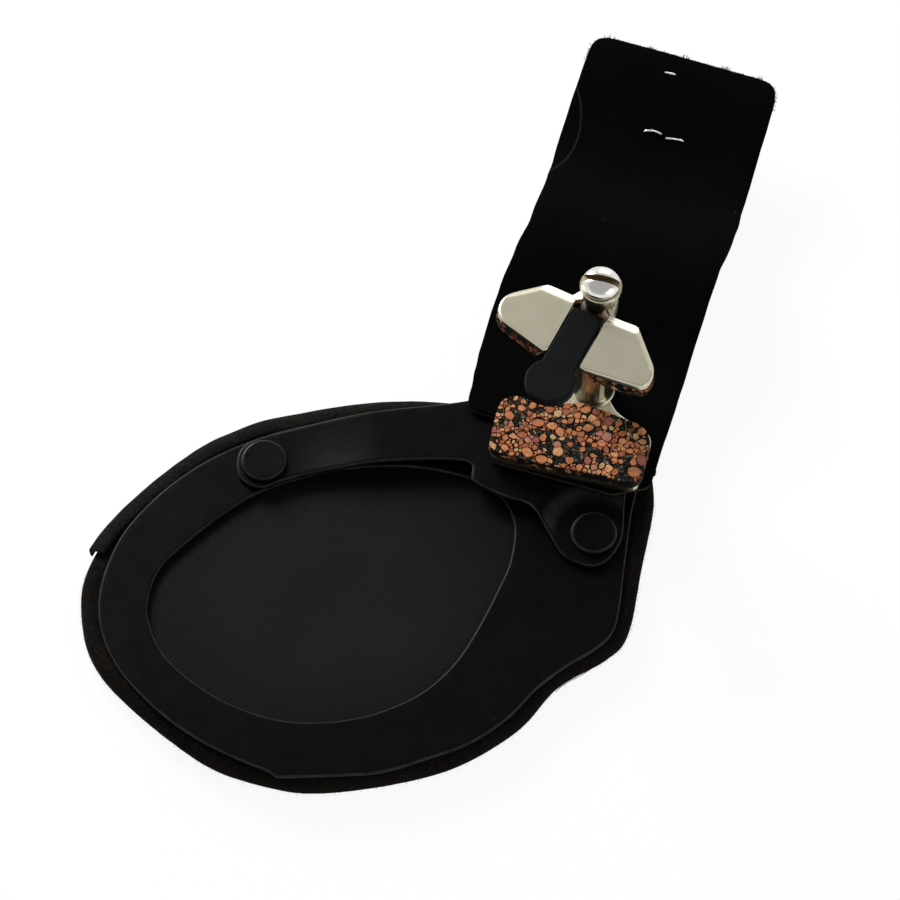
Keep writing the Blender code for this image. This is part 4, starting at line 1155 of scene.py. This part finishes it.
def packed_cells(outline, chance):
    """Spots of falling size packed inside an outline, and the cell that each has among the others.

    Each cell is drawn in along a direction of its own, so that long and angular ones come out.
    """
    low, high = extent(outline)
    spots = []
    for radius, tries in GRAIN_SIZES:
        for _ in range(tries):
            spot = Vector((chance.uniform(low.x, high.x), chance.uniform(low.y, high.y)))
            size = radius * MM * chance.uniform(0.8, 1.25)
            clear = all((spot - other).length > 0.66 * (size + width) for other, width in spots)
            if clear and inside(outline, spot):
                spots.append((spot, size))
    for spot, size in spots:
        cell = list(outline)
        gap = chance.uniform(0.04, 0.12) * MM
        turn = chance.uniform(0, math.pi)
        slim = chance.uniform(0.0, 0.4)
        for other, width in spots:
            apart = (other - spot).length
            if 0 < apart < 5.5 * MM:
                way = (other - spot) / apart
                limit = (apart ** 2 + size ** 2 - width ** 2) / (2 * apart) - gap
                limit *= 1 - slim * math.cos(math.atan2(way.y, way.x) - turn) ** 2
                cell = cut_loop(cell, lambda p: (p - spot).dot(way) - limit)
        for _ in range(chance.randrange(1, 4)):
            turn = chance.uniform(0, 2 * math.pi)
            way = Vector((math.cos(turn), math.sin(turn)))
            limit = size * chance.uniform(0.6, 1.0)
            cell = cut_loop(cell, lambda p: (p - spot).dot(way) - limit)
        if len(cell) > 2:
            yield spot, size, cell


def cut_loop(loop, beyond):
    """The part of a convex loop where beyond(point) is negative."""
    kept = []
    for a, b in edges_of(loop):
        at_a, at_b = beyond(a), beyond(b)
        if at_a <= 0:
            kept.append(a)
        if at_a * at_b < 0:
            kept.append(a.lerp(b, at_a / (at_a - at_b)))
    return kept


def chipped_loop(loop):
    """A loop with its corners cut a little."""
    return [a.lerp(b, share) for a, b in edges_of(loop) for share in (0.1, 0.5, 0.9)]


def make_cork_grains():
    """The lower pad's granules, which stand out of the binder, and patches of dark crumbs among them."""
    chance = random.Random(23)
    edits = {"granules": bmesh.new(), "crumbs": bmesh.new()}
    for spot, size, cell in packed_cells(cork_outline(0.35 * MM), chance):
        patch = noise.noise(Vector((spot.x, spot.y, 0.4)) * 150)
        likely = 0.9 if patch > 0.03 else 0.2
        dark = size < 0.95 * MM and chance.random() < likely
        edit = edits["crumbs" if dark else "granules"]
        loop = chipped_loop(cell)
        loop = [p + Vector(noise.noise_vector(p.to_3d() * 1700).xy) * 0.13 * MM for p in loop]
        centre = sum(loop, Vector((0, 0))) / len(loop)
        top = CORK_TOP - chance.uniform(0.0, 0.07) * MM - (0.1 * MM if dark else 0)
        lean = Vector((chance.uniform(-1, 1), chance.uniform(-1, 1))) * 0.03
        rings = []
        for scale, drop in ((1.0, 0.75), (1.0, 0.1), (0.95, 0.0)):
            ring = [centre + (p - centre) * scale for p in loop]
            rings.append([edit.verts.new((p.x, p.y, top - drop * MM + (p - centre).dot(lean))) for p in ring])
        edit.faces.new(reversed(rings[0]))
        edit.faces.new(rings[-1])
        strip_faces(edit, rings)
    for kind, look in (("granules", granules), ("crumbs", crumbs)):
        mesh = mesh_from("cork_" + kind, edits[kind])
        mesh.transform(CLAMP)
        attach(add_piece("cork_" + kind, mesh, look), "base")
        mesh.shade_flat()


# metal pieces

def plate_between(name, loop, extra, low, high, holes=()):
    """A plate with a closed outline and holes: its top follows high(x, y) and its underside low(x, y)."""
    verts, faces = filled(loop, extra, holes)
    edit = bmesh.new()
    top = [edit.verts.new((p.x, p.y, high(p.x, p.y))) for p in verts]
    bottom = [edit.verts.new((p.x, p.y, low(p.x, p.y))) for p in verts]
    for face in faces:
        edit.faces.new([top[i] for i in face])
        edit.faces.new([bottom[i] for i in reversed(face)])
    first = 0
    for ring in (loop, *holes):
        for i in range(len(ring)):
            a, b = first + i, first + (i + 1) % len(ring)
            edit.faces.new((top[a], bottom[a], bottom[b], top[b]))
        first += len(ring)
    return mesh_from(name, edit)


def rounding(depth, radius):
    """How far a rounded edge of that radius lies below the face, at a depth inside the outline."""
    if depth >= radius:
        return 0.0
    return radius - math.sqrt(radius ** 2 - (radius - depth) ** 2)


def make_ring():
    """The ring plate, rounded along its edges, with the straight tab at its front."""
    outer = smooth_loop(in_mm(RING_OUTLINE), 14)
    inner = smooth_loop(in_mm(RING_OPENING), 14)
    near_outer, near_inner = edge_finder(outer), edge_finder(inner)
    rings = []
    for inset in (0.1, 0.25, 0.45, 0.7, 1.5):
        rings += offset_loop(outer, -inset * MM) + offset_loop(inner, inset * MM)

    def depth(x, y):
        return min(near_outer(x, y), near_inner(x, y))

    def high(x, y):
        return RING_TOP - rounding(depth(x, y), 0.6 * MM)

    def low(x, y):
        return RING_BOTTOM + rounding(depth(x, y), 0.3 * MM)

    spots = [p for p in grid_in(outer, 3.5 * MM, 2 * MM) if near_inner(p.x, p.y) > 2 * MM]
    holes = [inner, *(round_hole(cap, CAP_HOLE) for cap in (LEFT_CAP, RIGHT_CAP))]
    mesh = plate_between("ring", outer, rings + spots, low, high, holes)
    piece = add_piece("ring", mesh, black_paint)
    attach(piece, "base")
    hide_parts("ring_frame")


def arm_rise(x, y):
    away = [(Vector((x, y)) - cap).length - ARM_END for cap in (LEFT_CAP, RIGHT_CAP)]
    t = min(clamped(reach / length) for reach, length in zip(away, ARM_JOGGLES))
    return ARM_RISE * t * t * (3 - 2 * t)


def arm_outline():
    turn = Matrix.Rotation(math.radians(STRAP_TURN), 2)

    def near(spot, u, v):
        return spot + Vector((u, v)) * ARM_END

    def on_seat(u, v):
        return POST + turn @ (Vector((u, v)) * SEAT_HALF)

    anchors = [
        near(LEFT_CAP, -0.71, 0.71), near(LEFT_CAP, 1.12, 1.38), near(LEFT_CAP, 3.88, 1.91),
        on_seat(-1.91, -0.66), on_seat(-1.27, -0.12), on_seat(-0.52, 0.303), on_seat(0.52, 0.303),
        on_seat(0.95, -0.35), on_seat(1.0, -1.5), near(RIGHT_CAP, 0.95, -0.2), near(RIGHT_CAP, 0.15, -1.18),
        near(RIGHT_CAP, -0.98, -0.88), near(RIGHT_CAP, -1.58, 0.08), near(RIGHT_CAP, -2.19, 1.02),
        on_seat(-0.85, -2.2), on_seat(-1.4, -2.08), on_seat(-1.62, -1.77), near(LEFT_CAP, 4.62, -0.08),
        near(LEFT_CAP, 1.88, -0.41), near(LEFT_CAP, 0.69, -0.72), near(LEFT_CAP, -0.12, -1.0),
        near(LEFT_CAP, -0.88, -0.48),
    ]
    return smooth_loop(anchors, 14)


def make_arm():
    """The bridge plate with its joggles, rounded along its edges."""
    loop = arm_outline()
    near = edge_finder(loop)
    rings = [p for inset in (0.1, 0.3, 0.6, 1.4) for p in offset_loop(loop, -inset * MM)]

    def low(x, y):
        return ARM_BOTTOM + arm_rise(x, y) + rounding(near(x, y), 0.3 * MM)

    def high(x, y):
        return ARM_BOTTOM + ARM_THICKNESS + arm_rise(x, y) - rounding(near(x, y), 0.55 * MM)

    mesh = plate_between("arm", loop, rings + grid_in(loop, 2.0 * MM, 1.6 * MM), low, high)
    piece = add_piece("arm", mesh, black_paint)
    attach(piece, "base")
    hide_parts("arm_plate")


def wing_outline(side):
    """One wing of the upper jaw, seen from above: side is 1 or -1."""
    corners = in_mm(WING_CORNERS[side])
    corners += [
        Vector((side * x, y))
        for x, y in ((WING_HOLD, 0), (WING_INSIDE, -WING_INSIDE), (WING_SLOT, -WING_HOLD))
    ]
    radii = (*WING_RADII[side], 0.05, 0.05, 0.05)
    rough = rounded_corners(corners, [radius * MM for radius in radii], 8)
    return divided(rough, 0.8 * MM)[::-side]


def from_line(spot, a, b):
    """How far a spot lies from the line between two points."""
    share = clamped((spot - a).dot(b - a) / (b - a).length_squared)
    return (spot - a.lerp(b, share)).length


def slope(depth, width, drop):
    """How far a sloped edge of that width and drop lies below the face, at a depth inside the outline."""
    t = clamped(1 - depth / width)
    return drop * t * t * (3 - 2 * t) if t < 0.25 else drop * (0.15625 + (t - 0.25) * 1.125)


def wing_mesh(side):
    """One pressed wing, with its sloped back edges."""
    loop = wing_outline(side)
    first = next(i for i, p in enumerate(loop) if abs(p.x) <= WING_SLOT + 0.01 * MM)
    turned = loop[first:] + loop[:first]
    near = edge_finder([p for p in turned if abs(p.x) > WING_SLOT + 0.01 * MM], False)
    tip, shoulder, neck = in_mm(WING_CORNERS[side][2:])

    def high(x, y):
        spot = Vector((x, y))
        back = slope(from_line(spot, neck, shoulder), *WING_BACK_SLOPE)
        tip_back = slope(from_line(spot, shoulder, tip), *WING_TIP_SLOPE)
        return WING_TOP - max(back, tip_back, rounding(near(x, y), 0.6 * MM))

    rings = [p for inset in (0.1, 0.25, 0.45, 0.7) for p in offset_loop(loop, -inset * MM)]
    spots = rings + grid_in(loop, 0.75 * MM, 0.8 * MM)
    return plate_between("wing", loop, spots, lambda x, y: WING_BOTTOM, high)


def lug_mesh(side):
    """The lug under one wing, with the eye of the lever's pin."""
    lug = [
        (PIN_FORWARD + LUG_RADIUS * math.cos(a), PIN_LEVEL + LUG_RADIUS * math.sin(a))
        for a in (math.pi + math.pi * k / 14 for k in range(15))
    ]
    lug += [(PIN_FORWARD + way * LUG_RADIUS, WING_TOP - 0.6 * MM) for way in (1, -1)]
    eye = round_hole(Vector((PIN_FORWARD, PIN_LEVEL)), PIN_EYE)
    verts, faces = filled([Vector(p) for p in lug], [], [eye])
    flat = bpy.data.meshes.new("lug")
    flat.from_pydata([(side * LUG_FROM, p.x, p.y) for p in verts], [], faces)
    edit = bmesh.new()
    edit.from_mesh(flat)
    push_out(edit, edit.faces[:], (side * (LUG_TO - LUG_FROM), 0, 0))
    return mesh_from("lug", edit)


def make_upper_jaw():
    """The pressed wings, the hub and the lugs of the lever's pin."""
    pieces = [make(side) for side in (-1, 1) for make in (wing_mesh, lug_mesh)]
    nick = HUB_EDGE * 0.3
    hub = [
        (HUB_BORE, HUB_BOTTOM), (HUB_RADIUS - HUB_EDGE, HUB_BOTTOM), (HUB_RADIUS - nick, HUB_BOTTOM + nick),
        (HUB_RADIUS, HUB_BOTTOM + HUB_EDGE), (HUB_RADIUS, HUB_TOP - HUB_EDGE),
        (HUB_RADIUS - nick, HUB_TOP - nick), (HUB_RADIUS - HUB_EDGE, HUB_TOP), (HUB_BORE, HUB_TOP),
    ]
    pieces.append(lathe_mesh("hub", hub))
    edit = bmesh.new()
    for mesh in pieces:
        edit.from_mesh(mesh)
    piece = add_piece("upper_jaw_pressing", mesh_from("upper_jaw_pressing", edit), nickel)
    # the hub's faces take the nickel with painted shade
    piece.data.materials.append(hub_shade_nickel)
    for face in piece.data.polygons:
        if face.center.xy.length < HUB_RADIUS + 0.05 * MM:
            face.material_index = 1
    piece.data.transform(SWIVEL)
    smooth_faces(piece, 40)
    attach(piece, "swivel_jaw")
    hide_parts("upper_jaw")


def make_lever():
    """The flat lever: its top runs level over the knuckle, and it sits a little to the left in its slot."""
    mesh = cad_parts["lever"].data.copy()
    back = SWIVEL.inverted()
    for vert in mesh.vertices:
        place = back @ vert.co
        from_pin = place.y - PIN_FORWARD
        if from_pin <= 0 and place.z > PIN_LEVEL + 1.5 * MM:
            crest = math.sqrt(max(0.0, KNUCKLE ** 2 - from_pin ** 2))
            place.z += KNUCKLE - max(LEVER_TOP, crest)
        place.x -= LEVER_SHIFT
        vert.co = SWIVEL @ place
    piece = add_piece("lever_bar", mesh, lever_paint)
    smooth_faces(piece)
    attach(piece, "flip_lever")
    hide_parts("lever")


def make_screw():
    """The slotted domed screw, with a darker, browner plate in its slot."""
    shoulder = HEAD_BOTTOM + HEAD_EDGE
    profile = [
        (HEAD_RADIUS * math.sin(a), shoulder + HEAD_DOME * math.cos(a))
        for a in (math.radians(6 * k) for k in range(16))
    ]
    profile += [
        (HEAD_RADIUS, HEAD_BOTTOM + 0.3 * MM), (HEAD_RADIUS - 0.1 * MM, HEAD_BOTTOM + 0.08 * MM),
        (HEAD_RADIUS - 0.3 * MM, HEAD_BOTTOM), (SCREW_RADIUS, HEAD_BOTTOM), (SCREW_RADIUS, SCREW_TIP),
        (0, SCREW_TIP),
    ]
    piece = add_piece("slotted_screw", lathe_mesh("slotted_screw", profile, 96), chrome)
    half = HEAD_SLOT / 2
    box = [Vector(p) for p in ((-half.x, -half.y), (half.x, -half.y), (half.x, half.y), (-half.x, half.y))]
    slot = bpy.data.objects.new("slot", prism_mesh("slot", box, -half.z, half.z))
    slot.data.materials.append(dark_slot_plate)
    turn = Matrix.Rotation(math.radians(HEAD_SLOT_TURN), 4, "Z")
    slot.data.transform(Matrix.Translation((0, 0, shoulder + HEAD_DOME)) @ turn)
    bpy.context.scene.collection.objects.link(slot)
    cut = piece.modifiers.new("slot", "BOOLEAN")
    cut.object = slot
    cut.operation = "DIFFERENCE"
    cut.solver = "EXACT"
    cut.material_mode = "TRANSFER"
    baked(piece)
    bpy.data.objects.remove(slot)
    bevel(piece, 0.12 * MM, 50)
    smooth_faces(piece)
    piece.data.transform(Matrix.Translation((POST.x, POST.y, 0)))
    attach(piece, "screw")
    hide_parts("clamp_screw")


def make_neck_flare():
    """The hollow curve in which the lower jaw runs out of its neck, on the right."""
    low, high = NECK_LEVELS
    loop = in_mm(NECK_FLARE)
    near = edge_finder(loop)
    rings = [p for inset in (0.12, 0.3, 0.6) for p in offset_loop(loop, -inset * MM)]
    mesh = plate_between(
        "neck_flare", loop, rings, lambda x, y: low, lambda x, y: high - rounding(near(x, y), 0.4 * MM),
    )
    mesh.transform(CLAMP)
    piece = add_piece("neck_flare", mesh, nickel)
    smooth_faces(piece, 40)
    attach(piece, "base")


def make_post_fillet():
    """The solder fillet round the post's foot."""
    profile = [
        (POST_RADIUS + 0.03 * MM, JAW_TOP + 2.2 * MM), (POST_RADIUS + 0.1 * MM, JAW_TOP + 1.4 * MM),
        (POST_RADIUS + 0.25 * MM, JAW_TOP + 0.75 * MM), (POST_RADIUS + 0.5 * MM, JAW_TOP + 0.28 * MM),
        (POST_RADIUS + 0.75 * MM, JAW_TOP + 0.04 * MM),
        (POST_RADIUS + 0.03 * MM, JAW_TOP + 0.04 * MM),
    ]
    piece = add_piece("post_fillet", lathe_mesh("post_fillet", profile), nickel)
    smooth_faces(piece, 40)
    piece.data.transform(Matrix.Translation((POST.x, POST.y, 0)))
    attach(piece, "base")


make_rim_fuzz(make_cushion())
make_panel()
make_binding()
make_ring()
make_arm()
make_strap("flap_leather", BACKING_BOTTOM, BACKING_THICKNESS, 0.0, LEATHER_TEAR, leather,
           ("foot_backing", "flap_backing"))
make_strap("flap_pile", VELVET_BOTTOM, VELVET_THICKNESS, PILE_GROWTH, PILE_TEAR, flap_velvet,
           ("foot_velvet", "flap_velvet"))
make_flap_fuzz()
make_thread()
make_staple("staple_wire_near", "staple_near", STAPLE_ROWS[0], bow=0.5 * MM, gap=1.6 * MM)
make_staple("staple_wire_far", "staple_far", STAPLE_ROWS[1], bow=0.2 * MM, gap=1.2 * MM, sunk=0.82 * MM)
make_lower_cork()
make_cork_grains()
make_wing_cork("wing_cork_left", "upper_cork_left", -1)
make_wing_cork("wing_cork_right", "upper_cork_right", 1)
make_upper_jaw()
make_lever()
make_screw()
make_post_fillet()
make_neck_flare()


# stage

def seen_rays(tree):
    """One for the rays that show the background: from the camera, a reflection or through something clear."""
    rays = node(tree, "ShaderNodeLightPath").outputs
    shown = maths(tree, "MAXIMUM", rays["Is Camera Ray"], rays["Is Glossy Ray"])
    return maths(tree, "MAXIMUM", shown, rays["Is Transmission Ray"])


def aim(thing, target):
    """Turn a lamp or a camera towards a target."""
    thing.rotation_euler = (Vector(target) - thing.location).to_track_quat("-Z", "Y").to_euler()
    bpy.context.scene.collection.objects.link(thing)


def make_floor():
    """A white floor that keeps a soft shadow."""
    bpy.ops.mesh.primitive_plane_add(size=6, location=(0, 0, -0.2 * MM))
    floor = bpy.context.object
    floor.name = "floor"
    made, tree, shader = material("white floor", 0.9, 0.0)
    shader.inputs["Base Color"].default_value = (0.9, 0.9, 0.9, 1)
    glow = node(tree, "ShaderNodeEmission", {"Color": (1, 1, 1, 1), "Strength": 1.0})
    share = maths(tree, "MULTIPLY", seen_rays(tree), 0.92)
    both = node(tree, "ShaderNodeMixShader", {0: share, 1: shader.outputs[0], 2: glow.outputs[0]})
    tree.links.new(both.outputs[0], tree.nodes["Material Output"].inputs["Surface"])
    floor.data.materials.append(made)


def make_world():
    """A plain world: white round the object, and greyer above it."""
    world = bpy.data.worlds.new("studio")
    bpy.context.scene.world = world
    world.use_nodes = True
    tree = world.node_tree
    way = node(tree, "ShaderNodeTexCoord").outputs["Generated"]
    rise = node(tree, "ShaderNodeSeparateXYZ", {0: way}).outputs["Z"]
    sky = ramp(tree, rise, [(0.42, grey(1.0)), (0.8, grey(0.47))])
    shown = mix(tree, seen_rays(tree), grey(0.34), sky)
    tree.links.new(shown, tree.nodes["Background"].inputs["Color"])


def make_lamp(name, location, target, size, watts):
    data = bpy.data.lights.new(name, "AREA")
    data.size = size
    data.energy = watts
    made = bpy.data.objects.new(name, data)
    made.location = location
    aim(made, target)


def make_camera():
    data = bpy.data.cameras.new("camera")
    data.sensor_width = 36
    data.lens = CAMERA_LENS
    camera = bpy.data.objects.new("camera", data)
    rise = math.radians(CAMERA_RISE)
    camera.location = CAMERA_TARGET + CAMERA_DISTANCE * Vector((0, -math.cos(rise), math.sin(rise)))
    aim(camera, CAMERA_TARGET)
    bpy.context.scene.camera = camera


make_floor()
make_world()
make_lamp("key", (-0.55, 0.88, 0.72), (0, 0.03, 0), size=0.55, watts=21)
make_lamp("fill", (0.9, -0.5, 0.9), (0, 0.03, 0), size=0.8, watts=3.0)
make_lamp("back", (0.32, 1.2, 0.62), (0.06, 0.05, 0.06), size=0.5, watts=2.5)
make_camera()
bpy.context.scene.view_settings.view_transform = "Standard"
